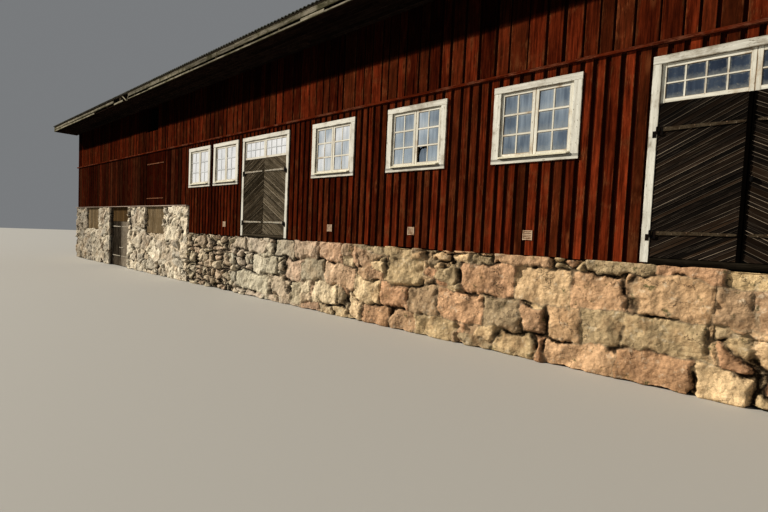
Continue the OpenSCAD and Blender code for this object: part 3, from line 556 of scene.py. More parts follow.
def readNamed(tree, name, kind="FLOAT_VECTOR"):
    return addNode(tree, "GeometryNodeInputNamedAttribute", {"Name": name}, data_type=kind).outputs["Attribute"]


def storeNamed(tree, geometry, name, value, kind="FLOAT_VECTOR"):
    return addNode(tree, "GeometryNodeStoreNamedAttribute", {"Geometry": geometry, "Name": name, "Value": value},
                   data_type=kind).outputs["Geometry"]


def endTree(tree, geometry, material):
    finished = addNode(tree, "GeometryNodeSetMaterial", {"Geometry": geometry, "Material": material})
    output = tree.nodes.new("NodeGroupOutput")
    tree.links.new(finished.outputs[0], output.inputs[0])
    return tree


def boardsOnPointsTree():
    # One unit shape on each point, scaled to the point's size, turned, set a little crooked and warped
    tree, given = newTree("boardsOnPoints", [
        ("Points", "Geometry"), ("Unit shape", "Object"), ("Crooked", "Float"), ("Warp", "Float"),
        ("Warp length", "Float"), ("Seed", "Int"), ("Finish", "Material")])
    shape = addNode(tree, "GeometryNodeObjectInfo", {"Object": given["Unit shape"]}).outputs["Geometry"]
    between = {0: (-1.0, -1.0, -1.0), 1: (1.0, 1.0, 1.0), "Seed": given["Seed"]}
    slip = addNode(tree, "FunctionNodeRandomValue", between,
                   data_type="FLOAT_VECTOR").outputs[0]
    turn = vectorMaths(tree, "ADD", readNamed(tree, "turn"), vectorMaths(tree, "SCALE", slip, given["Crooked"]))
    placed = addNode(tree, "GeometryNodeInstanceOnPoints", {
        "Points": given["Points"], "Instance": shape, "Rotation": turn, "Scale": readNamed(tree, "size")})
    solid = addNode(tree, "GeometryNodeRealizeInstances", {0: placed.outputs[0]}).outputs[0]
    tone = readNamed(tree, "tone", "FLOAT")
    shift = joined(tree, *(maths(tree, "MULTIPLY", tone, far) for far in (37.0, 91.0, 53.0)))
    grain = vectorMaths(tree, "MULTIPLY", readNamed(tree, "unit"), readNamed(tree, "size"))
    grain = vectorMaths(tree, "ADD", grain, shift)
    marked = storeNamed(tree, solid, "grain", grain)
    spread = vectorMaths(tree, "DIVIDE", readNamed(tree, "grain"), joined(tree, *[given["Warp length"]] * 3))
    wave = noise(tree, spread, 1.0, 2.0, 0.5, 1)
    push = vectorMaths(tree, "SCALE", vectorMaths(tree, "SUBTRACT", wave, (0.5, 0.5, 0.5)), given["Warp"])
    warped = addNode(tree, "GeometryNodeSetPosition", {"Geometry": marked, "Offset": push}).outputs[0]
    return endTree(tree, warped, given["Finish"])


def stoneReliefTree(name, coursed, stops):
    # Pushes a gridded wall in and out into stones, with deep joints between them
    tree, given = newTree(name, [
        ("Wall", "Geometry"), ("Stone length", "Float"), ("Stone height", "Float"), ("Joint depth", "Float"),
        ("Bulge", "Float"), ("Lean", "Float"), ("Rough", "Float"), ("Top", "Float"), ("Finish", "Material")])
    place = tree.nodes.new("GeometryNodeInputPosition").outputs[0]

    def wander(scale, amount, detail):
        return vectorMaths(tree, "SCALE", vectorMaths(
            tree, "SUBTRACT", noise(tree, place, scale, detail, 0.6, 1), (0.5, 0.5, 0.5)), amount)
    bend = vectorMaths(tree, "ADD", wander(1.1, 0.42, 2.0), wander(8.0, 0.12, 4.0))
    if coursed:
        # the courses stand higher beyond the first door, which leaves a thin course at the top
        rise = mapRange(tree, axis(tree, place, 0), 4.0, 5.2, -0.15, 0.09, smooth=True)
        bend = vectorMaths(tree, "ADD", bend, joined(tree, 0.0, 0.0, rise))
    stone = joined(tree, given["Stone length"], given["Stone length"], given["Stone height"])
    cell = vectorMaths(tree, "DIVIDE", vectorMaths(tree, "ADD", place, bend), stone)
    marked = storeNamed(tree, given["Wall"], "stoneCell", cell)
    edge, toss, lean = stoneCells(tree, readNamed(tree, "stoneCell"), readNamed(tree, "split", "FLOAT"), coursed)
    gape = openJoints(tree, place, readNamed(tree, "split", "FLOAT"), stops)
    swell = mapRange(tree, edge, 0.0, maths(tree, "ADD", 0.02, jointBreadth(tree, place, gape)))
    depth = maths(tree, "MULTIPLY", given["Joint depth"], mapRange(tree, gape, 0.0, 1.0, 0.22, 1.0))
    outward = maths(tree, "MULTIPLY", given["Bulge"], mapRange(tree, axis(tree, toss, 1), 0.0, 1.0, -1.0, 1.0))
    outward = maths(tree, "ADD", outward, maths(tree, "MULTIPLY", given["Lean"], lean))
    crags = maths(tree, "MULTIPLY", maths(tree, "SUBTRACT", noise(tree, place, 5.0, 4.0, 0.55), 0.5), 0.45)
    for scale, share in ((2.6, 0.95), (7.5, 0.28)):
        cut = maths(tree, "SUBTRACT", 0.4, facets(tree, place, toss, scale))
        crags = maths(tree, "ADD", crags, maths(tree, "MULTIPLY", cut, share))
    uneven = mapRange(tree, readNamed(tree, "split", "FLOAT"), 0.5, 0.78, 1.0, 2.0)
    crags = maths(tree, "MULTIPLY", maths(tree, "MULTIPLY", given["Rough"], uneven), crags)
    crags = maths(tree, "MULTIPLY", crags, mapRange(tree, swell, 0.0, 1.0, 0.3, 1.0))
    push = maths(tree, "SUBTRACT", maths(tree, "MULTIPLY", maths(tree, "ADD", outward, depth), swell), depth)
    push = maths(tree, "MULTIPLY", maths(tree, "ADD", push, crags), readNamed(tree, "free", "FLOAT"))
    normal = tree.nodes.new("GeometryNodeInputNormal").outputs[0]
    moved = addNode(tree, "GeometryNodeSetPosition", {
        "Geometry": marked, "Offset": vectorMaths(tree, "SCALE", normal, push)}).outputs[0]
    ceiling = joined(tree, 100.0, 100.0, given["Top"])
    within = vectorMaths(tree, "MINIMUM", vectorMaths(tree, "MAXIMUM", place, (-100.0, -100.0, 0.0)), ceiling)
    grounded = addNode(tree, "GeometryNodeSetPosition", {"Geometry": moved, "Position": within}).outputs[0]
    smooth = addNode(tree, "GeometryNodeSetShadeSmooth", {"Geometry": grounded}).outputs[0]
    return endTree(tree, smooth, given["Finish"])


boardsOnPoints = boardsOnPointsTree()
stoneReliefs = {"rubble": stoneReliefTree("rubbleRelief", False, jointStops["rubble"]),
                "granite": stoneReliefTree("graniteRelief", True, jointStops["granite"])}


def linkObject(name, mesh):
    thing = bpy.data.objects.new(name, mesh)
    bpy.context.scene.collection.objects.link(thing)
    return thing


def runTree(name, mesh, tree, inputs):
    source = linkObject(name + "Source", mesh)
    modifier = source.modifiers.new("build", "NODES")
    modifier.node_group = tree
    for socket in tree.interface.items_tree:
        if socket.in_out == "INPUT" and socket.name in inputs:
            modifier[socket.identifier] = inputs[socket.name]
    depsgraph = bpy.context.evaluated_depsgraph_get()
    built = bpy.data.meshes.new_from_object(source.evaluated_get(depsgraph), depsgraph=depsgraph)
    bpy.data.objects.remove(source)
    bpy.data.meshes.remove(mesh)
    return linkObject(name, built)


def rideOn(piece, body, slot, *replaced):
    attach(piece, body)
    if replaced:
        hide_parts(*replaced)
    return piece


def meshFrom(name, bm, finish=None):
    mesh = bpy.data.meshes.new(name)
    bm.to_mesh(mesh)
    bm.free()
    if finish:
        mesh.materials.append(finishes[finish])
    return mesh


def pointValues(mesh, name, values, kind="FLOAT"):
    field = "value" if kind == "FLOAT" else "vector"
    own = mesh.attributes.new(name, kind, "POINT")
    for i, value in enumerate(values):
        setattr(own.data[i], field, value)


def skin(bm, rings):
    # Faces from each closed ring of points to the next
    for low, high in zip(rings, rings[1:]):
        for i in range(len(low)):
            j = (i + 1) % len(low)
            bm.faces.new((low[i], low[j], high[j], high[i]))


def unitMesh(name, bm):
    bmesh.ops.recalc_face_normals(bm, faces=bm.faces)
    mesh = meshFrom(name, bm)
    pointValues(mesh, "unit", [v.co for v in mesh.vertices], "FLOAT_VECTOR")
    return linkObject(name, mesh)


def unitBoard(bevelX=0.03, bevelY=0.14, cuts=3):
    # A board one unit each way, long in Z, face towards -Y, with its long arrises taken off
    bm = bmesh.new()
    outline = [(-0.5, 0.5), (-0.5, bevelY - 0.5), (bevelX - 0.5, -0.5),
               (0.5 - bevelX, -0.5), (0.5, bevelY - 0.5), (0.5, 0.5)]
    rings = [[bm.verts.new((x, y, i / cuts - 0.5)) for x, y in outline] for i in range(cuts + 1)]
    skin(bm, rings)
    bm.faces.new(rings[0])
    bm.faces.new(rings[-1])
    return unitMesh("unitBoard", bm)


class Rows(list):
    # Boards to be made: centre, size (across, thick, long), turn and tone of each
    def __init__(self, seed):
        super().__init__()
        self.random = random.Random(seed)

    def put(self, centre, size, turn=(0.0, 0.0, 0.0), tone=None):
        self.append((tuple(centre), tuple(size), tuple(turn), self.random.random() if tone is None else tone))


def layBoards(name, rows, finish, unit=None, crooked=0.0015, warp=0.002, warpLength=0.35, seed=3):
    mesh = bpy.data.meshes.new(name + "Points")
    mesh.from_pydata([row[0] for row in rows], [], [])
    for index, (label, kind) in enumerate((("size", "FLOAT_VECTOR"), ("turn", "FLOAT_VECTOR"), ("tone", "FLOAT")), 1):
        pointValues(mesh, label, [row[index] for row in rows], kind)
    shape = unit or unitBoard()
    piece = runTree(name, mesh, boardsOnPoints, {
        "Unit shape": shape, "Crooked": crooked, "Warp": warp, "Warp length": warpLength, "Seed": seed,
        "Finish": finishes[finish]})
    bpy.data.objects.remove(shape)
    for label in ("size", "turn"):
        if label in piece.data.attributes:
            piece.data.attributes.remove(piece.data.attributes[label])
    return piece


# Each side of the barn: its turn about Z, and the place of a point at u along it, out from the wall, z up
sideTurn = {"front": 0.0, "back": math.pi, "west": -math.pi / 2, "east": math.pi / 2}


def onSide(side, u, out, z):
    if side == "front":
        return Vector((u, -wallOut - out, z))
    if side == "back":
        return Vector((u, wallOut + out, z))
    return Vector((westEnd - out, u, z)) if side == "west" else Vector((eastEnd + out, u, z))


# Gaps between the over-boards of the loft's front that the camera sees, from the west end of the wall
loftGaps = [5.43, 5.79, 6.13, 6.42, 6.80, 7.01, 7.33, 7.65, 7.85, 8.26, 8.54, 8.83, 9.14, 9.44, 9.63, 9.97, 10.29,
            10.47, 10.79, 10.97, 11.19, 11.42, 11.65, 11.92, 12.15, 12.41, 12.76, 13.02, 13.22, 13.48, 13.74, 13.99,
            14.25, 14.47, 14.84, 15.06, 15.29, 15.63, 15.86, 16.17, 16.40, 16.61, 16.88, 17.20, 17.60, 17.90, 18.23,
            18.49, 18.72, 18.94, 19.21, 19.40, 19.77, 20.02, 20.25, 20.52, 20.71, 20.94, 21.15, 21.46, 21.70, 21.96,
            22.18, 22.46, 22.75, 23.07, 23.31, 23.61, 23.90, 24.18, 24.46, 24.67, 24.86, 25.12, 25.42, 25.68, 25.85,
            26.04, 26.30]
cladding = {
    "cover": {"pitch": 0.186, "gap": 0.066, "loose": 0.12, "thick": 0.030, "uneven": 0.08, "ragged": 0.03},
    "loft": {"pitch": 0.262, "gap": 0.038, "loose": 0.6, "thick": 0.028, "uneven": 0.2, "ragged": 0.006},
    "barn": {"pitch": 0.292, "gap": 0.036, "loose": 0.5, "thick": 0.016, "uneven": 0.18, "ragged": 0.01},
}


def boardMarks(rows, start, end, size, known=()):
    # Where one over-board gives way to the next, as measured or by chance
    marks, run = [], [start, *known, end]
    for low, high in zip(run, run[1:]):
        count = 1 if known and high - low < 0.45 else max(1, round((high - low) / size["pitch"]))
        steps = [1 + rows.random.uniform(-size["uneven"], size["uneven"]) for _ in range(count)]
        place = low
        for step in steps:
            marks.append(place)
            place += step * (high - low) / sum(steps)
    return marks + [end]


def boardSide(rows, side, start, end, size, foot, top, holes=(), known=()):
    # Upright boards from start to end, cut round the holes (u from, u to, z from, z to)
    marks = boardMarks(rows, start, end, size, known)
    for a, b in zip(marks, marks[1:]):
        u = (a + b) / 2
        gap = size["gap"] * (1.35 if u < 2.0 and known else 1.0)
        wide = b - a - gap * (1 + rows.random.uniform(-size["loose"], size["loose"]))
        low = foot - rows.random.uniform(0, size["ragged"])
        high = top(u, wide) if callable(top) else top
        spans = [(low, high)]
        for uFrom, uTo, zFrom, zTo in holes:
            if uFrom < u < uTo:
                spans = [piece for c, d in spans for piece in ((c, min(d, zFrom)), (max(c, zTo), d))
                         if piece[1] > piece[0]]
        tone = rows.random.random()
        for c, d in spans:
            if d - c > 0.03:
                rows.put(onSide(side, u, size["thick"] / 2 + rows.random.uniform(0, 0.004), (c + d) / 2),
                         (wide, size["thick"], d - c), (0.0, 0.0, sideTurn[side]), tone)


halfWindow = 0.7
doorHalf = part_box("door_casings")[1].x - doorMids[1]
windowHoles = [(m - halfWindow + 0.065, m + halfWindow - 0.065, windowFoot, windowTop) for m in windowMids]
doorHoles = [(m - doorHalf + 0.04, m + doorHalf - 0.04, 0.0, windowTop) for m in doorMids]
hatchLow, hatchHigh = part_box("plank_hatch")
hatchHole = (hatchLow.x, hatchHigh.x, 0.0, 9.0)
loftHole = (seam - barn["loftHatchLeft"] - 0.02, seam - barn["loftHatchLeft"] + barn["loftHatchWidth"] + 0.02,
            barn["loftHatchFoot"], 9.0)
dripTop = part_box("drip_boards")[1].z


def gableTop(u, wide):
    return ridgeUnder - roofSlope * abs(u) + 0.5 * wide * roofSlope


def redBoards(name, side, start, end, kind, foot, top, holes, seed, finish="redBoards", known=()):
    rows = Rows(seed)
    boardSide(rows, side, start, end, cladding[kind], foot, top, holes, known)
    piece = layBoards(name, rows, finish, unitBoard(0.03, 0.16, 4), crooked=0.002, warp=0.003)
    if callable(top):
        for v in piece.data.vertices:
            v.co.z = min(v.co.z, ridgeUnder - roofSlope * abs(v.co.y) - 0.004)
    return rideOn(piece, "barn", "red_boards")


baseFoot = baseTop + 0.01
redBoards("coverBoardsFront", "front", seam, eastEnd, "cover", baseFoot, beltLow, windowHoles + doorHoles, 11)
redBoards("coverBoardsBack", "back", seam, eastEnd, "cover", baseFoot, beltLow, windowHoles, 12)
redBoards("coverBoardsEast", "east", -wallOut, wallOut, "cover", baseFoot, beltLow, (), 13)
redBoards("barnBoardsFront", "front", westEnd, seam, "barn", dripTop, beltLow, [hatchHole] + windowHoles, 14,
          "dimBoards")
redBoards("barnBoardsBack", "back", westEnd, seam, "barn", dripTop, beltLow, (), 15, "dimBoards")
redBoards("barnBoardsWest", "west", -wallOut, wallOut, "barn", dripTop, beltLow, (), 16, "dimBoards")
redBoards("loftBoardsFront", "front", westEnd, eastEnd, "loft", beltHigh, soffitZ, [loftHole], 17, "loftBoards",
          known=[westEnd + gap for gap in loftGaps])
redBoards("loftBoardsBack", "back", westEnd, eastEnd, "loft", beltHigh, soffitZ, (), 18, "loftBoards")
redBoards("gableBoardsWest", "west", -wallOut, wallOut, "loft", beltHigh, gableTop, (), 19)
redBoards("gableBoardsEast", "east", -wallOut, wallOut, "loft", beltHigh, gableTop, (), 20)
print("red boards laid")

hatchSizes = {"planks": 9, "gap": 0.005, "thick": 0.03, "ledgeWide": 0.036, "ledgeThick": 0.022, "ledgeShort": 0.12,
              "ledgeLeft": 0.03, "lowLedge": 0.27, "topLedge": 0.42}
flat = math.pi / 2


def putPlanks(rows, low, high, count, gap, face, thick):
    # Upright planks of one width side by side that fill the box from low to high, their middle at Y = face
    wide = (high.x - low.x) / count
    for i in range(count):
        rows.put((low.x + (i + 0.5) * wide, face, (low.z + high.z) / 2), (wide - gap, thick, high.z - low.z))


hatch, ledges = Rows(31), Rows(32)
hatchWidth = hatchHigh.x - hatchLow.x
putPlanks(hatch, hatchLow, hatchHigh, hatchSizes["planks"], hatchSizes["gap"],
          hatchLow.y + hatchSizes["thick"] / 2, hatchSizes["thick"])
rideOn(layBoards("plankHatch", hatch, "redHatch"), "barn", "red_boards", "plank_hatch")
for z in (hatchLow.z + hatchSizes["lowLedge"], hatchHigh.z - hatchSizes["topLedge"]):
    middle = (hatchLow.x + hatchHigh.x) / 2 - hatchSizes["ledgeLeft"], hatchLow.y - hatchSizes["ledgeThick"] / 2, z
    size = hatchSizes["ledgeWide"], hatchSizes["ledgeThick"], hatchWidth - hatchSizes["ledgeShort"]
    ledges.put(middle, size, (0, flat, 0), 1.0)
rideOn(layBoards("hatchLedges", ledges, "wornBatten"), "barn", "red_boards")


def stoneWall(name, side, start, end, top, thick, grid, stones, finish, holes=(), pinned=(), extra=None, small=None):
    # A closed wall with a fine grid on its outer face and ends; pinned ends stay put, so that walls meet
    def marks(low, high, cuts):
        stops = sorted({low, high, *[c for c in cuts if low < c < high]})
        return [a + (b - a) * k / n for a, b in zip(stops, stops[1:])
                for n in [max(1, math.ceil((b - a) / grid))] for k in range(n)] + [high]
    us = marks(start, end, [h for hole in holes for h in hole[:2]])
    zs = marks(0.0, top, [hole[2] for hole in holes])
    out = stoneOut - wallOut
    bm = bmesh.new()
    corners = {}

    def corner(i, j):
        if (i, j) not in corners:
            corners[i, j] = bm.verts.new(onSide(side, us[i], out, zs[j]))
        return corners[i, j]

    for i in range(len(us) - 1):
        for j in range(len(zs) - 1):
            u, z = (us[i] + us[i + 1]) / 2, (zs[j] + zs[j + 1]) / 2
            if not any(a < u < b and z > c for a, b, c in holes):
                bm.faces.new((corner(i, j), corner(i + 1, j), corner(i + 1, j + 1), corner(i, j + 1)))
    inward = onSide(side, 0, 0, 0) - onSide(side, 0, 1, 0)
    rim = [e for e in bm.edges if e.is_boundary]
    steps = max(2, round(thick / 0.08))
    for _ in range(steps):
        grown = bmesh.ops.extrude_edge_only(bm, edges=rim)["geom"]
        moved = [g for g in grown if isinstance(g, bmesh.types.BMVert)]
        bmesh.ops.translate(bm, verts=moved, vec=inward * thick / steps)
        rim = [g for g in grown if isinstance(g, bmesh.types.BMEdge) and g.is_boundary]
    inner = {v for e in rim for v in e.verts}
    bmesh.ops.contextual_create(bm, geom=rim)
    bmesh.ops.recalc_face_normals(bm, faces=bm.faces)
    bm.verts.index_update()
    level = 1 if side in ("west", "east") else 0
    fixed = [v in inner or any(abs(v.co[level] - u) < 1e-4 for u in pinned) for v in bm.verts]
    if extra:
        extra(bm)
        fixed += [True] * (len(bm.verts) - len(fixed))
    mesh = meshFrom(name, bm)
    pointValues(mesh, "free", [0.0 if held else 1.0 for held in fixed])
    pointValues(mesh, "split", [small(v.co) if small else stones["small"] for v in mesh.vertices])
    return runTree(name, mesh, stoneReliefs[finish], {
        "Stone length": stones["length"], "Stone height": stones["height"], "Joint depth": stones["joint"],
        "Bulge": stones["bulge"], "Lean": stones["lean"], "Rough": stones["rough"], "Top": top,
        "Finish": finishes[finish]})


def addBlock(low, high):
    def into(bm):
        bmesh.ops.create_cube(bm, size=1.0, matrix=Matrix.Translation((low + high) / 2)
                              @ Matrix.Diagonal((*(high - low), 1.0)))
        bm.verts.index_update()
    return into


rubbleStones = {"length": 0.92, "height": 0.46, "joint": 0.07, "bulge": 0.018, "lean": 0.08, "rough": 0.15,
                "small": 0.4}
graniteStones = {"length": 0.80, "height": 0.50, "joint": 0.10, "bulge": 0.024, "lean": 0.06, "rough": 0.115,
                 "small": 0.25}


def baseStones(place):
    # Small stones next to the high basement, big blocks further on
    share = min(1.0, max(0.0, (seam + 3.2 - place.x + 0.15 * math.sin(9 * place.z)) / 0.5))
    return graniteStones["small"] + share * 0.55


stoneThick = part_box("low_base_gable")[1].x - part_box("low_base_gable")[0].x
stoneIn = stoneOut - stoneThick
stoneWest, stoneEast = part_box("basement_front_left")[0].x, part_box("low_base_gable")[1].x
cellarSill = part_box("boarded_windows")[0].z
cellarHoles = [(x, x + barn["cellarWindowWidth"], cellarSill) for x in cellarWindows]
cellarLeft = westEnd + barn["cellarDoorLeft"]
cellarRight = cellarLeft + barn["cellarDoorWidth"]
crossLow, crossHigh = Vector((seam - 0.5, -stoneIn, 0)), Vector((seam, stoneIn, basementTop))
ends = {"pinned": (-stoneIn, stoneIn)}
westEnds = {**ends, "extra": addBlock(crossLow, crossHigh)}
# name, side, from, to, grid, what else differs, node
rubbleWalls = [
    ("basementFrontLeft", "front", stoneWest, cellarLeft, 0.032, {"holes": cellarHoles[:1]}, "basement_front_left"),
    ("basementFrontRight", "front", cellarRight, seam, 0.028, {"holes": cellarHoles[1:]}, "basement_front_right"),
    ("basementEnds", "west", -stoneIn, stoneIn, 0.06, westEnds, "basement_end_walls"),
    ("basementBack", "back", stoneWest, seam, 0.06, {"holes": cellarHoles}, "basement_back_wall")]
graniteWalls = [
    ("lowBaseFront", "front", seam, stoneEast, 0.024, {"small": baseStones}, "low_base_walls"),
    ("lowBaseBack", "back", seam, stoneEast, 0.06, {}, "low_base_walls"),
    ("lowBaseEast", "east", -stoneIn, stoneIn, 0.06, ends, "low_base_gable")]
for walls, top, stones, finish in ((rubbleWalls, basementTop, rubbleStones, "rubble"),
                                   (graniteWalls, baseTop, graniteStones, "granite")):
    for name, side, start, end, grid, other, node in walls:
        wall = stoneWall(name, side, start, end, top, stoneThick, grid, stones, finish, **other)
        rideOn(wall, "barn", "granite", node)
print("stone walls built")

# Windows and their trim
window = {"side": 0.125, "head": 0.105, "foot": 0.08, "casingThick": 0.028, "stile": 0.055, "recess": 0.028,
          "sashThick": 0.04, "lowRail": 0.082, "barWide": 0.027, "crossWide": 0.029, "paneThick": 0.004,
          "transomBar": 0.021, "paneIn": 0.014, "paneLap": 0.016, "dripOut": 0.078, "dripThick": 0.022}


def putBar(rows, side, u, z, out, wide, thick, long, level=False, tone=None):
    # A board on a side of the barn, upright or level
    turn = (0.0, flat, sideTurn[side]) if level else (0.0, 0.0, sideTurn[side])
    rows.put(onSide(side, u, out - thick / 2, z), (wide, thick, long), turn, tone)


def putCasing(rows, side, mid, foot, top, half, sideWide, headWide, footWide, out, footRows=None):
    long = top - foot - headWide - footWide
    for s in (-1, 1):
        putBar(rows, side, mid + s * (half - sideWide / 2), foot + footWide + long / 2, out, sideWide,
               window["casingThick"], long)
    proud = 0.003
    thick = window["casingThick"] + proud
    putBar(rows, side, mid, top - headWide / 2, out + proud, headWide, thick, 2 * half, True)
    if footWide:
        putBar(footRows, side, mid, foot + footWide / 2, out + proud, footWide, thick, 2 * half, True)


def putSash(frames, bars, panes, side, mid, low, high, half, columns, crossbars, barWide, crossWide, lowRail, hazeAndReflection,
            broken=None):
    # One casement: stiles and rails, glazing bars and a loose pane in each gap
    face = casingFace - wallOut - window["recess"]
    stile = window["stile"]
    thick = window["sashThick"]
    for s in (-1, 1):
        putBar(frames, side, mid + s * (half - stile / 2), (low + high) / 2, face, stile, thick, high - low)
    for z, rail in ((low + lowRail / 2, lowRail), (high - stile / 2, stile)):
        putBar(frames, side, mid, z, face - 0.001, rail, thick - 0.001, 2 * (half - stile), True)
    left, right, foot, top = mid - half + stile, mid + half - stile, low + lowRail, high - stile
    paneWide = (right - left - (columns - 1) * barWide) / columns
    paneHigh = (top - foot - crossbars * crossWide) / (crossbars + 1)
    for i in range(1, columns):
        putBar(bars, side, left + i * (paneWide + barWide) - barWide / 2, (foot + top) / 2, face - 0.006, barWide,
               0.028, top - foot)
    for j in range(1, crossbars + 1):
        putBar(bars, side, mid, foot + j * (paneHigh + crossWide) - crossWide / 2, face - 0.004, crossWide, 0.03,
               right - left, True)
    for i in range(columns):
        for j in range(crossbars + 1):
            lean = [panes.random.uniform(-0.012, 0.012) for _ in range(2)]
            tone = hazeAndReflection + panes.random.uniform(-0.045, 0.045)
            middle = onSide(side, left + i * (paneWide + barWide) + paneWide / 2, face - window["paneIn"],
                            foot + j * (paneHigh + crossWide) + paneHigh / 2)
            if (i, j) == broken:
                brokenPanes.append((middle, paneWide + window["paneLap"], paneHigh + window["paneLap"]))
            else:
                size = paneWide + window["paneLap"], window["paneThick"], paneHigh + window["paneLap"]
                panes.put(middle, size, (lean[0], 0.0, sideTurn[side] + lean[1]), tone)


casings, sashFrames, sashBars, panes, drips = Rows(41), Rows(42), Rows(43), Rows(44), Rows(46)
paleFrames, paleBars, casingFeet = Rows(47), Rows(48), Rows(50)
brokenPanes, brokenAt = [], ("front", 3, 1)
# pane whiteness of the front windows from west to east: haze, and on the far windows painted sky reflection
paneHazeAndReflection, backHaze, brokenTone = [0.96, 0.9, 0.74, 0.57, 0.455, 0.40, 0.44], 0.4, 0.46
sashGap = 0.001
openLow, openHigh = windowFoot + window["foot"], windowTop - window["head"]
halfOpen = halfWindow - window["side"]
for side in ("front", "back"):
    for k, mid in enumerate(windowMids):
        putCasing(casings, side, mid, windowFoot, windowTop, halfWindow, window["side"], window["head"],
                  window["foot"], casingFace - wallOut, casingFeet)
        frames, bars = (paleFrames, paleBars) if side == "front" and k < 2 else (sashFrames, sashBars)
        hazeAndReflection = paneHazeAndReflection[k] if side == "front" else backHaze
        for s in (-1, 1):
            putSash(frames, bars, panes, side, mid + s * halfOpen / 2, openLow, openHigh, halfOpen / 2 - sashGap,
                    2, 2, window["barWide"], window["crossWide"] + 0.004, window["lowRail"], hazeAndReflection,
                    (0, 0) if (side, k, s) == brokenAt else None)
        # a sloping weather board over the foot of the casing
        tip = casingFace - wallOut + 0.05
        slope = (0.28, 0.0, 0.0) if side == "front" else (-0.28, 0.0, math.pi)
        drips.put(onSide(side, mid, tip - window["dripOut"] / 2, openLow + 0.022),
                  (2 * halfOpen - 0.03, window["dripOut"], window["dripThick"]), slope, 0.9)
doorCasings, packing = Rows(45), Rows(49)
doorCasing = 0.1
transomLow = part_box("door_1_left_leaf")[1].z + 0.008
for mid in doorMids:
    first = mid == doorMids[0]
    putCasing(doorCasings, "front", mid, baseTop + 0.02, windowTop, doorHalf, doorCasing, window["head"], 0.0,
              casingFace - wallOut)
    deep = casingFace - wallOut - window["casingThick"]
    for s in (-1, 1):
        putBar(packing, "front", mid + s * (doorHalf - 0.058), (baseTop + 0.02 + windowTop) / 2, deep, 0.084, deep,
               windowTop - baseTop - 0.04)
    putBar(packing, "front", mid, windowTop - 0.06, deep, 0.09, deep, 2 * doorHalf - 0.1, True)
    # the first door's transom panes are whitened as painted sky reflection
    frames, bars, hazeAndReflection = (paleFrames, paleBars, 0.88) if first else (sashFrames, sashBars, 0.15)
    half = (doorHalf - doorCasing) / 2
    for s in (-1, 1):
        putSash(frames, bars, panes, "front", mid + s * half, transomLow, openHigh, half - sashGap, 4, 1,
                window["transomBar"], window["transomBar"], window["stile"], hazeAndReflection)
# name, rows, finish, unit board, how crooked and warped, slot, node that it replaces
windowPieces = [
    ("windowCasings", casings, "casingPaint", (0.035, 0.07, 5), (0.002, 0.002, 0.3), "cream_paint", "window_casings"),
    # the casing feet carry painted shade along their top, under the weather boards
    ("casingFeet", casingFeet, "footPaint", (0.035, 0.07, 5), (0.002, 0.002, 0.3), "cream_paint"),
    ("doorCasings", doorCasings, "casingPaint", (0.04, 0.07, 8), (0.001, 0.003, 0.3), "cream_paint", "door_casings"),
    ("casingPacking", packing, "redHatch", (0.03, 0.1, 2), (0.0, 0.001), "red_boards"),
    ("sashFrames", sashFrames, "sashPaint", (0.07, 0.1, 2), (0.001, 0.001), "cream_paint", "sashes"),
    ("sashBars", sashBars, "sashPaint", (0.12, 0.16, 2), (0.001, 0.001), "cream_paint"),
    ("paleFrames", paleFrames, "sashPaint", (0.07, 0.1, 2), (0.001, 0.001), "cream_paint"),
    ("paleBars", paleBars, "paleSash", (0.12, 0.16, 2), (0.001, 0.001), "cream_paint"),
    ("windowPanes", panes, "paneGlass", (0.01, 0.1, 1), (0.0, 0.0), "pane_glass", "glass_panes"),
    ("weatherBoards", drips, "dripPaint", (0.02, 0.15, 2), (0.004, 0.001), "cream_paint")]
for name, rows, finish, unit, lay, slot, *node in windowPieces:
    rideOn(layBoards(name, rows, finish, unitBoard(*unit), *lay), "barn", slot, *node)
# what is left of the broken pane, in shares of its width and height
shards = [
    [(0.26, 0.0), (1.0, 0.0), (1.0, 0.88), (0.87, 0.80), (0.8, 0.90), (0.63, 0.82), (0.5, 0.86), (0.37, 0.77),
     (0.24, 0.45)],
    [(0.0, 0.0), (0.10, 0.0), (0.05, 0.22), (0.0, 0.30)],
    [(0.2, 1.0), (0.33, 0.88), (0.6, 1.0)]]
bm = bmesh.new()
for middle, wide, high in brokenPanes:
    for shard in shards:
        rim = [bm.verts.new(middle + Vector(((x - 0.5) * wide, 0.0, (z - 0.5) * high))) for x, z in shard]
        sheet = bmesh.ops.extrude_face_region(bm, geom=[bm.faces.new(rim)])["geom"]
        bmesh.ops.translate(bm, verts=[g for g in sheet if isinstance(g, bmesh.types.BMVert)],
                            vec=(0, window["paneThick"], 0))
bmesh.ops.recalc_face_normals(bm, faces=bm.faces)
shardMesh = meshFrom("brokenPane", bm, "paneGlass")
pointValues(shardMesh, "tone", [brokenTone] * len(shardMesh.vertices))
rideOn(linkObject("brokenPane", shardMesh), "barn", "pane_glass")
print("windows set:", len(panes), "panes")


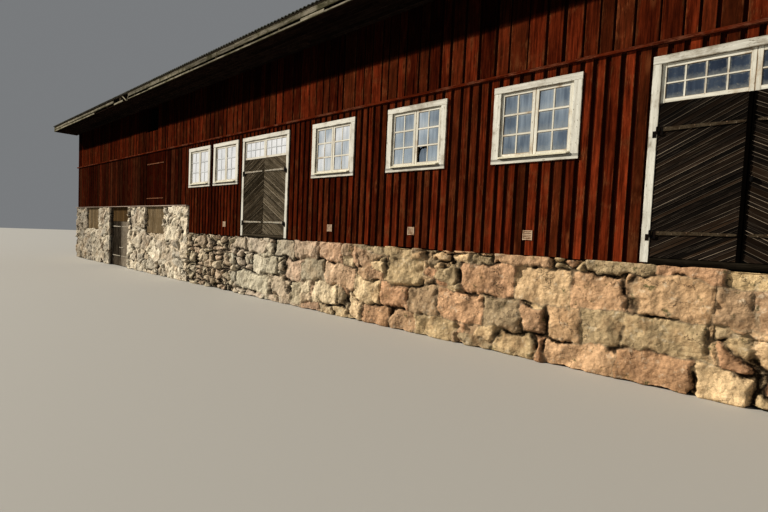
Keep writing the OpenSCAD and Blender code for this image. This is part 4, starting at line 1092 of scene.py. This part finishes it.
def doorLeaf(name, number, leftHand, finish, backFinish, stripFinish, phase):
    # Lapped boards that rise to the meeting edge, cut to the leaf, on a planked back. Each board shows two edges.
    sizes = {"lap": 0.102, "bead": 0.0385, "angle": math.radians(29), "boardThick": 0.013, "back": 0.025,
             "strip": 0.042 if leftHand else 0.014, "planks": 6, "plankGap": 0.003, "tip": 0.011, "sunk": 0.0105}
    low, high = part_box(name)
    sign = 1 if leftHand else -1
    free = high.x if leftHand else low.x
    hinge = low.x if leftHand else high.x
    lapFace = high.y - sizes["back"]
    rows = Rows(50 + number)
    putPlanks(rows, low, high, sizes["planks"], sizes["plankGap"], high.y - sizes["back"] / 2, sizes["back"])
    planks = layBoards(name + "_planks", rows, backFinish, unitBoard(0.02, 0.1, 3))
    laps = Rows(60 + number)
    across = abs(free - hinge)
    lift = across * math.tan(sizes["angle"])
    step = sizes["lap"] / math.cos(sizes["angle"])
    for k in range(-math.ceil(lift / step) - 1, math.ceil((high.z - low.z) / step) + 1):
        for edge, shows in ((0.0, sizes["bead"]), (sizes["bead"], sizes["lap"] - sizes["bead"])):
            wide = shows * 1.2
            z = low.z + phase + k * step + lift / 2
            z += (edge + wide / 2 + laps.random.uniform(-0.002, 0.002)) / math.cos(sizes["angle"])
            laps.put(((low.x + high.x) / 2, lapFace - sizes["sunk"], z),
                     (wide, sizes["boardThick"], across / math.cos(sizes["angle"]) * 1.25),
                     (math.atan2(sizes["tip"], wide), 0.0, 0.0))
    # a lapped board is turned level, tipped so that its lower edge stands out, then sloped up to the free edge
    shaped = []
    for centre, size, (tilt, _, _), tone in laps:
        turn = (Matrix.Rotation(-sign * sizes["angle"], 3, "Y") @ Matrix.Rotation(-tilt, 3, "X")
                @ Matrix.Rotation(flat, 3, "Y")).to_euler()
        shaped.append((centre, size, tuple(turn), tone))
    laps[:] = shaped
    lapped = layBoards(name + "_laps", laps, finish, unitBoard(0.05, 0.14, 6), 0.003, 0.002, 0.25, 5 + number)
    stripX = free - sign * (sizes["strip"] if stripFinish else 0.0)
    bm = bmesh.new()
    bm.from_mesh(lapped.data)
    cuts = [((min(hinge, stripX), 0, 0), (-1, 0, 0)), ((max(hinge, stripX), 0, 0), (1, 0, 0)),
            ((0, 0, low.z), (0, 0, -1)), ((0, 0, high.z), (0, 0, 1))]
    for place, normal in cuts:
        cut = bmesh.ops.bisect_plane(bm, geom=bm.verts[:] + bm.edges[:] + bm.faces[:], plane_co=place,
                                     plane_no=normal, clear_outer=True)
        rim = [g for g in cut["geom_cut"] if isinstance(g, bmesh.types.BMEdge)]
        bmesh.ops.edgenet_fill(bm, edges=rim)
    bmesh.ops.recalc_face_normals(bm, faces=bm.faces)
    bm.to_mesh(lapped.data)
    bm.free()
    for v in lapped.data.vertices:
        v.co.y = max(v.co.y, low.y + 0.002)
    if not stripFinish:
        return [planks, lapped]
    strip = Rows(70 + number)
    strip.put(((free + stripX) / 2, (low.y + lapFace) / 2, (low.z + high.z) / 2),
              (sizes["strip"] - 0.001, lapFace - low.y, high.z - low.z))
    edge = layBoards(name + "_strip", strip, stripFinish, unitBoard(0.08, 0.1, 6))
    return [planks, lapped, edge]


def joinPieces(name, parts):
    with bpy.context.temp_override(active_object=parts[0], selected_editable_objects=parts):
        bpy.ops.object.join()
    parts[0].name = name
    parts[0].data.name = name
    return parts[0]


doorFinish = {"door_1_left": ("brownDoor", "cellarDark", None, 0.036),
              "door_1_right": ("greyDoor", "cellarGrey", None, 0.044),
              "door_2_left": ("tarredDoor", "cellarDark", "tarredStrip", 0.0),
              "door_2_right": ("tarredDoor", "cellarDark", "tarredStrip", 0.05)}
for number in (1, 2):
    for k, hand in enumerate(("left", "right")):
        body = f"door_{number}_{hand}"
        parts = doorLeaf(body + "_leaf", number * 2 + k, hand == "left", *doorFinish[body])
        rideOn(joinPieces(body + "_boards", parts), body, "tarred_boards", body + "_leaf")
print("byre doors made")


cellarSizes = {"planks": 5, "gap": 0.004, "plankMid": 0.014, "plankThick": 0.027, "ledgeIn": 0.3, "ledgeWide": 0.14,
               "ledgeThick": 0.018, "ledgeShort": 0.06}


def cellarLeaf(hand, seed):
    node = f"cellar_{hand}_leaf"
    low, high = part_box(node)
    rows = Rows(seed)
    sizes = cellarSizes
    putPlanks(rows, low, high, sizes["planks"], sizes["gap"], low.y + sizes["plankMid"], sizes["plankThick"])
    for z in (low.z + sizes["ledgeIn"], high.z - sizes["ledgeIn"]):
        rows.put(((low.x + high.x) / 2, high.y - sizes["ledgeThick"] / 2, z),
                 (sizes["ledgeWide"], sizes["ledgeThick"], high.x - low.x - sizes["ledgeShort"]), (0, flat, 0))
    piece = layBoards(f"cellar_{hand}_boards", rows, "cellarDark" if hand == "left" else "cellarGrey",
                      unitBoard(0.03, 0.12, 5))
    return rideOn(piece, f"cellar_{hand}", "tarred_boards", node)


cellarLeaf("left", 81)
cellarLeaf("right", 82)

# Basement door frame, boarded windows, vents
frameLow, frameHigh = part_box("basement_door_frame")
frameRows, shadedLeftPost = Rows(83), Rows(86)
post = barn["cellarPost"]
frameSizes = {"stopWide": 0.04, "stopThick": 0.07, "planks": 9, "gap": 0.004, "plankMid": 0.03, "plankThick": 0.05,
              "panelLift": 0.008}
inner = barn["cellarDoorWidth"] / 2 - post
for s, rows in ((-1, shadedLeftPost), (1, frameRows)):
    rows.put((cellarMid + s * (inner + post / 2), (frameLow.y + frameHigh.y) / 2, basementTop / 2),
             (post - 0.002, frameHigh.y - frameLow.y, basementTop))
    frameRows.put((cellarMid + s * (inner - frameSizes["stopWide"] / 2), frameHigh.y - frameSizes["stopThick"] / 2,
                   basementTop / 2), (frameSizes["stopWide"], frameSizes["stopThick"], basementTop))
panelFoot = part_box("cellar_left_leaf")[1].z + frameSizes["panelLift"]
putPlanks(frameRows, Vector((cellarMid - inner, 0, panelFoot)), Vector((cellarMid + inner, 0, basementTop)),
          frameSizes["planks"], frameSizes["gap"], frameLow.y + frameSizes["plankMid"], frameSizes["plankThick"])
rideOn(layBoards("basementDoorFrame", frameRows, "cellarPanel"), "barn", "bare_wood", "basement_door_frame")
# the left post takes the dark tarredDoor finish as painted shade from the stone jamb; the right post is cellarPanel
rideOn(layBoards("basementLeftPost", shadedLeftPost, "tarredDoor"), "barn", "bare_wood")

boarded = Rows(84)
boardSizes = {"boards": 10, "gap": 0.004, "thick": 0.045, "middleIn": 0.025}
boardsOut = -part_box("boarded_windows")[0].y - wallOut - boardSizes["middleIn"]
wide = barn["cellarWindowWidth"] / boardSizes["boards"]
for side in ("front", "back"):
    for x in cellarWindows:
        for i in range(boardSizes["boards"]):
            boarded.put(onSide(side, x + (i + 0.5) * wide, boardsOut, (cellarSill + basementTop) / 2),
                        (wide - boardSizes["gap"], boardSizes["thick"], basementTop - cellarSill),
                        (0, 0, sideTurn[side]))
rideOn(layBoards("boardedWindows", boarded, "bareBoards", crooked=0.004), "barn", "bare_wood", "boarded_windows")

vents = Rows(85)
ventSizes = {"slats": 6, "slatWide": 0.019, "slatDeep": 0.004, "frame": 0.018, "slatShort": 0.03, "back": 0.006}
ventLow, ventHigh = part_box("wall_vents")
ventMid, ventHalf, ventOut = (ventLow.z + ventHigh.z) / 2, (ventHigh.z - ventLow.z) / 2, -ventLow.y - wallOut
for mid in windowMids[1:5]:
    for s in (-1, 1):
        putBar(vents, "front", mid + s * (ventHalf - ventSizes["frame"] / 2), ventMid, ventOut, ventSizes["frame"],
               ventOut, 2 * ventHalf)
    for k in range(ventSizes["slats"]):
        deep = 0 if k in (0, ventSizes["slats"] - 1) else ventSizes["slatDeep"]
        putBar(vents, "front", mid, ventLow.z + (k + 0.5) * 2 * ventHalf / ventSizes["slats"], ventOut - deep,
               ventSizes["slatWide"], ventOut - ventSizes["back"], 2 * ventHalf - ventSizes["slatShort"], True)
rideOn(layBoards("wallVents", vents, "ventPlate", unitBoard(0.12, 0.1, 1), 0.0, 0.0), "barn", "granite", "wall_vents")
print("basement doors, boarded windows and vents made")

# Eaves: two fascia boards with a gap, lengthwise soffit boards
eave = {"fasciaThick": 0.025, "gap": 0.018, "lowHigh": 0.075}
fasciaTop = deckFoot - 0.002
lowerBoard = (soffitZ, soffitZ + eave["lowHigh"])
upperBoard = (lowerBoard[1] + eave["gap"], fasciaTop)
# from, to, what is left of the height, tone; X from the west end of the wall
frontUpper = [(-0.39, 3.4, 0.8, 0.75), (3.4, 7.9, 0.75, 0.55), (9.35, 11.2, 1.0, 0.35), (11.2, 12.0, 1.0, 0.62),
              (12.0, 12.8, 1.0, 0.7), (12.8, 13.75, 1.0, 0.6), (13.75, 16.4, 1.0, 0.3), (16.4, 19.0, 1.0, 0.45),
              (19.0, 22.6, 1.0, 0.5), (22.6, 26.8, 1.0, 0.4), (26.8, 31.29, 1.0, 0.5)]
frontLower = [(-0.39, 2.6, 1.0, 0.9), (2.6, 5.7, 0.85, 0.8), (7.95, 8.85, 0.9, 0.85), (9.4, 11.1, 0.4, 1.0),
              (11.1, 14.0, 0.7, 0.8), (14.0, 19.0, 0.55, 0.7), (19.0, 19.75, 1.0, 0.85), (19.75, 24.2, 0.5, 0.6),
              (24.2, 28.0, 0.7, 0.6), (28.0, 31.29, 1.0, 0.7)]
fascia, soffit = Rows(91), Rows(92)


def fasciaRun(side, boards, low, high, fromTop):
    out = eaveOut - wallOut
    for start, end, share, tone in boards:
        height = (high - low) * share
        mid = high - height / 2 if fromTop else low + height / 2
        putBar(fascia, side, westEnd + (start + end) / 2, mid, out - fascia.random.uniform(0, 0.004), height,
               eave["fasciaThick"] - 0.004, end - start - 0.008, True, tone)


def randomRun(shortest):
    runs, x, last = [], -0.39, eastEnd - westEnd + 0.39
    while x < last - 0.05:
        end = min(x + fascia.random.uniform(shortest, shortest * 1.9), last)
        runs.append((x, end, fascia.random.choice((1.0, 1.0, 0.7)), fascia.random.uniform(0.3, 0.9)))
        x = end
    return runs


fasciaRun("front", frontUpper, *upperBoard, False)
fasciaRun("front", frontLower, *lowerBoard, False)
fasciaRun("back", randomRun(3.2), *upperBoard, True)
fasciaRun("back", randomRun(1.8), *lowerBoard, True)
splinter = Vector((westEnd + 8.95, -eaveOut + 0.02, (lowerBoard[0] + fasciaTop) / 2))
fascia.put(splinter, (0.045, 0.016, 0.52), (0.0, math.radians(118), 0.0), 1.0)
fascia.put(splinter + Vector((0.34, 0.01, 0.0)), (0.03, 0.014, 0.3), (0.0, math.radians(35), 0.0), 0.9)
for side in ("front", "back"):
    out = eaveOut - wallOut
    depth = out - eave["fasciaThick"]
    for k in range(7):
        x = -roofEnd
        while x < roofEnd - 0.05:
            long = min(soffit.random.uniform(2.8, 4.6), roofEnd - x)
            place = onSide(side, x + long / 2, (k + 0.5) * depth / 7, soffitZ + 0.011)
            soffit.put(place, (depth / 7 - 0.006, 0.022, long - 0.004), (flat, 0.0, flat))
            x += long
fasciaBoards = layBoards("fasciaBoards", fascia, "eaveBoards", unitBoard(0.04, 0.14, 6), 0.0012, 0.004, 0.2)
rideOn(fasciaBoards, "barn", "bare_wood")
rideOn(layBoards("soffitBoards", soffit, "soffitBoards", unitBoard(0.03, 0.14, 4)), "barn", "bare_wood", "soffits")


def turnTo(inward, along):
    # Turn of a board whose back faces inward and whose length lies along
    y, z = Vector(inward).normalized(), Vector(along).normalized()
    return tuple(Matrix((y.cross(z), y, z)).transposed().to_euler())


verge = Rows(93)
vergeHigh = 0.2
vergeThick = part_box("roof_edge_boards")[1].x - roofEnd
for sx in (-1, 1):
    for sy in (-1, 1):
        down = Vector((0, sy * math.cos(barn["roofPitch"]), -math.sin(barn["roofPitch"])))
        below = Vector((0, -sy * math.sin(barn["roofPitch"]), -math.cos(barn["roofPitch"])))
        start = Vector((sx * (roofEnd + vergeThick / 2 - 0.002), 0, ridgeUnder)) + below * vergeHigh / 2
        reach = eaveOut / math.cos(barn["roofPitch"]) - 0.02
        for k in range(2):
            verge.put(start + down * reach * (k + 0.5) / 2, (vergeHigh, vergeThick, reach / 2 - 0.006),
                      turnTo((-sx, 0, 0), down))
        boxed = eaveOut - wallOut
        for k in range(5):
            y = wallOut + (k + 0.5) * boxed / 5
            top = ridgeUnder - roofSlope * y - 0.02
            verge.put((sx * (roofEnd + vergeThick / 2 - 0.004), sy * y, (soffitZ + top) / 2),
                      (boxed / 5 - 0.004, vergeThick - 0.008, top - soffitZ), (0, 0, sx * flat))
vergeBoards = layBoards("vergeBoards", verge, "eaveBoards", unitBoard(0.03, 0.14, 6))
rideOn(vergeBoards, "barn", "bare_wood", "roof_edge_boards")
print("eaves made")

# Corrugated sheets in lapped courses; the ridge cap is the frame's own node, painted further on
roofing = {"wave": 0.13, "waveHigh": 0.028, "sheetWaves": 8, "course": 1.28, "lap": 0.15, "thick": 0.007,
           "fromRidge": 0.03, "short": 0.054, "endIn": 0.003}
sheetLow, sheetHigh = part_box("roof_sheets_front")


def unitSheet(waves, steps=10):
    # One sheet with its waves across X, one unit long down Z, bottom of the wave at Y = 0
    bm = bmesh.new()
    rings = []
    for z in (-0.5, 0.0, 0.5):
        ring = []
        for i in range(waves * steps + 1):
            y = -0.5 * roofing["waveHigh"] * (1 + math.cos(2 * math.pi * i / steps))
            ring.append((i * roofing["wave"] / steps - waves * roofing["wave"] / 2, y, z))
        ring += [(x, y + roofing["thick"], z) for x, y, z in reversed(ring)]
        rings.append([bm.verts.new(p) for p in ring])
    skin(bm, rings)
    n = waves * steps + 1
    for ring in (rings[0], rings[-1]):
        for i in range(n - 1):
            bm.faces.new((ring[i], ring[i + 1], ring[2 * n - 2 - i], ring[2 * n - 1 - i]))
    return unitMesh("unitSheet", bm)


def roofSheets(side, sign, seed):
    rows = Rows(seed)
    pitch = barn["roofPitch"]
    across = sheetHigh.x - sheetLow.x - 2 * roofing["endIn"]
    columns = round(across / (roofing["wave"] * roofing["sheetWaves"]))
    wide = across / columns
    long = -sheetLow.y / math.cos(pitch) - roofing["short"]
    courses = round(long / roofing["course"])
    step = long / courses
    deckTop = ridgeUnder + 0.025 / math.cos(pitch)
    for j in range(courses):
        lap = roofing["lap"] if j < courses - 1 else 0.0
        for i in range(columns):
            along = roofing["fromRidge"] + j * step + (step + lap) / 2
            lift = roofing["thick"] + 0.004 + (0.006 if lap else 0.0)
            y = along * math.cos(pitch) + lift * math.sin(pitch)
            z = deckTop - along * math.sin(pitch) + lift * math.cos(pitch)
            place = Vector((sheetLow.x + roofing["endIn"] + (i + 0.5) * wide, -sign * y, z))
            base = Matrix.Rotation(0.0 if sign > 0 else math.pi, 3, "Z") @ Matrix.Rotation(-(flat - pitch), 3, "X")
            slip = rows.random.uniform(-0.002, 0.002)
            turn = (base @ Matrix.Rotation(slip, 3, "Y")).to_euler()
            rows.put(place, (wide / (roofing["wave"] * roofing["sheetWaves"]), 1.0, step + lap), tuple(turn))
    piece = layBoards("roofSheets" + side, rows, "roofSheet", unitSheet(roofing["sheetWaves"]), 0.0, 0.002, 0.5)
    for face in piece.data.polygons:
        face.use_smooth = False
    return rideOn(piece, "barn", "roof_sheet", "roof_sheets_" + side.lower())


roofSheets("Front", 1, 101)
roofSheets("Back", -1, 102)
print("roof sheets laid")


def nailHeads(name, places, radius, finish, body, slot, seed):
    bm = bmesh.new()
    bmesh.ops.create_cone(bm, cap_ends=True, segments=8, radius1=0.5, radius2=0.3, depth=1.0,
                          matrix=Matrix.Rotation(flat, 4, "X"))
    rows = Rows(seed)
    for place in places:
        rows.put(place, (radius * 2, 0.004, radius * 2))
    return rideOn(layBoards(name, rows, finish, unitMesh("unitNail", bm), 0.05, 0.0), body, slot)


strap = {"eye": 0.0136, "eyeHigh": 0.058, "thick": 0.0075, "root": 0.0275, "tip": 0.017, "steps": 22, "crank": 0.042}


def strapPlates(name, pin, sign, mids, back, end, finish, seed):
    # Forged straps, cranked from the eye to the face of the leaf and narrower towards the rounded end
    chance = random.Random(seed)
    bm = bmesh.new()
    reach, crank = abs(end - pin.x), strap["crank"]
    alongs = [0.0, 0.014, 0.028, crank]
    alongs += [crank + (reach - crank) * (i + 1) / strap["steps"] for i in range(strap["steps"])]
    for z in mids:
        rings = []
        for i, along in enumerate(alongs):
            half = strap["root"] + (strap["tip"] - strap["root"]) * along / reach + chance.uniform(-0.0012, 0.0012)
            half *= {len(alongs) - 1: 0.5, len(alongs) - 2: 0.92}.get(i, 1.0)
            share = min(1.0, along / crank)
            deep = (pin.y + 0.012) * (1 - share) + back * share
            front = deep - strap["thick"] + chance.uniform(-0.0006, 0.0006)
            mid = z + 0.0016 * math.sin(along * 11 + seed)
            section = ((deep, 1.0), (front + 0.002, 1.0), (front, 0.88), (front, -0.88), (front + 0.002, -1.0),
                       (deep, -1.0))
            rings.append([bm.verts.new((pin.x + sign * along, y, mid + h * half)) for y, h in section])
        skin(bm, rings)
        bm.faces.new(rings[0])
        bm.faces.new(rings[-1])
    bmesh.ops.recalc_face_normals(bm, faces=bm.faces)
    plates = linkObject(name + "_plates", meshFrom(name + "_plates", bm, finish))
    return rideOn(plates, name, "iron", name + "_straps")


strapFinish = {"door_1": "greyIron", "door_2": "strapIron", "cellar": "greyIron"}
strapNails = (0.11, 0.26, 0.42, 0.58, 0.74, 0.83)
for k, name in enumerate(f"{door}_{hand}" for door in strapFinish for hand in ("left", "right")):
    strapLow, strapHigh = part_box(name + "_straps")
    sign = 1 if name.endswith("left") else -1
    root, end = (strapLow.x, strapHigh.x) if sign > 0 else (strapHigh.x, strapLow.x)
    onByre = name.startswith("door")
    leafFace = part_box(name + "_leaf")[0].y + (0.002 if onByre else 0.0)
    pin = Vector((root + sign * 0.013, -casingFace - 0.02 if onByre else strapLow.y + 0.013, 0.0))
    strapMids = sorted({round(strapLow.z + strap["root"], 4), round(strapHigh.z - strap["root"], 4)})
    strapPlates(name, pin, sign, strapMids, leafFace, end, strapFinish[name.rsplit("_", 1)[0]], 120 + k)
    face = leafFace - strap["thick"] - 0.0015
    places = [(root + sign * d, face, z + 0.010 * (-1) ** i) for z in strapMids
              for i, d in enumerate(strapNails)]
    nailHeads(name + "_nails", places, 0.010, "darkIron", name, "iron", 110)
    # the eye round the pin and the start of the strap are black
    bm = bmesh.new()
    for z in strapMids:
        bmesh.ops.create_cone(bm, cap_ends=True, segments=16, radius1=strap["eye"], radius2=strap["eye"],
                              depth=strap["eyeHigh"], matrix=Matrix.Translation((pin.x, pin.y, z)))
        bmesh.ops.create_cube(bm, size=1.0, matrix=Matrix.Translation((pin.x + sign * 0.040, face + 0.001, z - 0.02))
                              @ Matrix.Diagonal((0.05, 0.004, 0.11, 1.0)))
    rideOn(linkObject(name + "_eyes", meshFrom(name + "_eyes", bm, "blackIron")), name, "iron")

# A pull on the second byre door and a bar latch on the basement door, in a part for each leaf
pull = Rows(131)
pullAt = Vector((doorMids[1] + 0.044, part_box("door_2_right_leaf")[0].y, 2.69))
for shift, size in (((0.0, -0.014, 0.0), (0.026, 0.036, 0.07)), ((-0.004, -0.033, 0.0), (0.034, 0.012, 0.045))):
    pull.put(pullAt + Vector(shift), size)
rideOn(layBoards("doorPull", pull, "blackIron", unitBoard(0.2, 0.2, 2), 0.01, 0.001), "door_2_right", "iron")
latch = {"out": 0.012, "height": 0.79, "wide": 0.034, "thick": 0.018}
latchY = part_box("cellar_left_leaf")[0].y - latch["out"]
for hand, seed, start, end, rise in (("left", 132, -0.16, -0.008, 0.10), ("right", 133, 0.008, 0.30, -0.05)):
    rows = Rows(seed)
    rows.put((cellarMid + (start + end) / 2, latchY, latch["height"]), (latch["wide"], latch["thick"], end - start),
             (0.0, flat + rise, 0.0))
    bar = layBoards("latch" + hand.title(), rows, "greyIron", unitBoard(0.1, 0.2, 2), 0.0, 0.0)
    rideOn(bar, "cellar_" + hand, "iron")
print("nails driven")

plain = {
    "redWall": ["barn_wall_front", "byre_walls_front", "loft_wall_front", "back_walls", "loft_wall_back",
                "gable_left", "gable_right", "long_beams"],
    "redBatten": ["belt_battens"],
    "greyBeam": ["drip_boards"],
    "sillBeam": ["door_sills"],
    "greyPost": ["rafters"],
    "roofDeck": ["roof_boarding"],
    "floorPlanks": ["barn_floor", "byre_floor", "loft_floor"],
    "roofSheet": ["ridge_cap"],
    "blackIron": ["pintles"],
}
for finish, names in plain.items():
    for name in names:
        for place in cadNodes[name].material_slots:
            place.material = finishes[finish]
print("plain nodes painted")

# Floor, light and camera
studio = {"floorHalf": 90.0, "floorColour": (0.46, 0.45, 0.42), "sunTravel": (0.72, 0.48, -0.455), "sunPower": 4.2,
          "sunAngle": math.radians(1.2), "skyColour": (0.94, 0.97, 1.0), "skyPower": 0.2}
bm = bmesh.new()
bmesh.ops.create_grid(bm, x_segments=1, y_segments=1, size=studio["floorHalf"])
floor = linkObject("studioFloor", meshFrom("studioFloor", bm))
floor.location.z = -0.002
floorMaterial, floorTree = newMaterial("paleFloor")
finishMaterial(floorTree, (*studio["floorColour"], 1.0), 0.9)
floor.data.materials.append(floorMaterial)

sun = bpy.data.lights.new("keyLight", "SUN")
sun.energy, sun.angle, sun.color = studio["sunPower"], studio["sunAngle"], (1.0, 0.93, 0.82)
sunObject = linkObject("keyLight", sun)
sunObject.rotation_euler = Vector(studio["sunTravel"]).to_track_quat("-Z", "Y").to_euler()

world = bpy.data.worlds.new("paleSky")
world.use_nodes = True
background = world.node_tree.nodes["Background"]
background.inputs["Color"].default_value = (*studio["skyColour"], 1.0)
background.inputs["Strength"].default_value = studio["skyPower"]
bpy.context.scene.world = world

shot = {"place": (11.279, -12.017, 1.85), "turn": math.radians(41.14), "down": math.radians(2.773),
        "roll": math.radians(2.595), "lens": 20.86}
forward = Vector((-math.sin(shot["turn"]) * math.cos(shot["down"]), math.cos(shot["turn"]) * math.cos(shot["down"]),
                  -math.sin(shot["down"])))
level = Vector((math.cos(shot["turn"]), math.sin(shot["turn"]), 0))
upright = level.cross(forward)
right = level * math.cos(shot["roll"]) + upright * math.sin(shot["roll"])
up = -level * math.sin(shot["roll"]) + upright * math.cos(shot["roll"])
lens = bpy.data.cameras.new("roadCamera")
lens.lens, lens.sensor_width = shot["lens"], 36.0
lens.clip_end = 500
camera = linkObject("roadCamera", lens)
camera.matrix_world = Matrix((
    (right.x, up.x, -forward.x, shot["place"][0]), (right.y, up.y, -forward.y, shot["place"][1]),
    (right.z, up.z, -forward.z, shot["place"][2]), (0, 0, 0, 1)))
bpy.context.scene.camera = camera
bpy.context.scene.view_settings.view_transform = "Standard"
bpy.context.scene.view_settings.look = "Medium High Contrast"

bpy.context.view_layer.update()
shown = [o.data for o in bpy.context.scene.objects if o.type == "MESH" and not o.hide_render]
print("triangles:", sum(len(face.vertices) - 2 for mesh in shown for face in mesh.polygons))
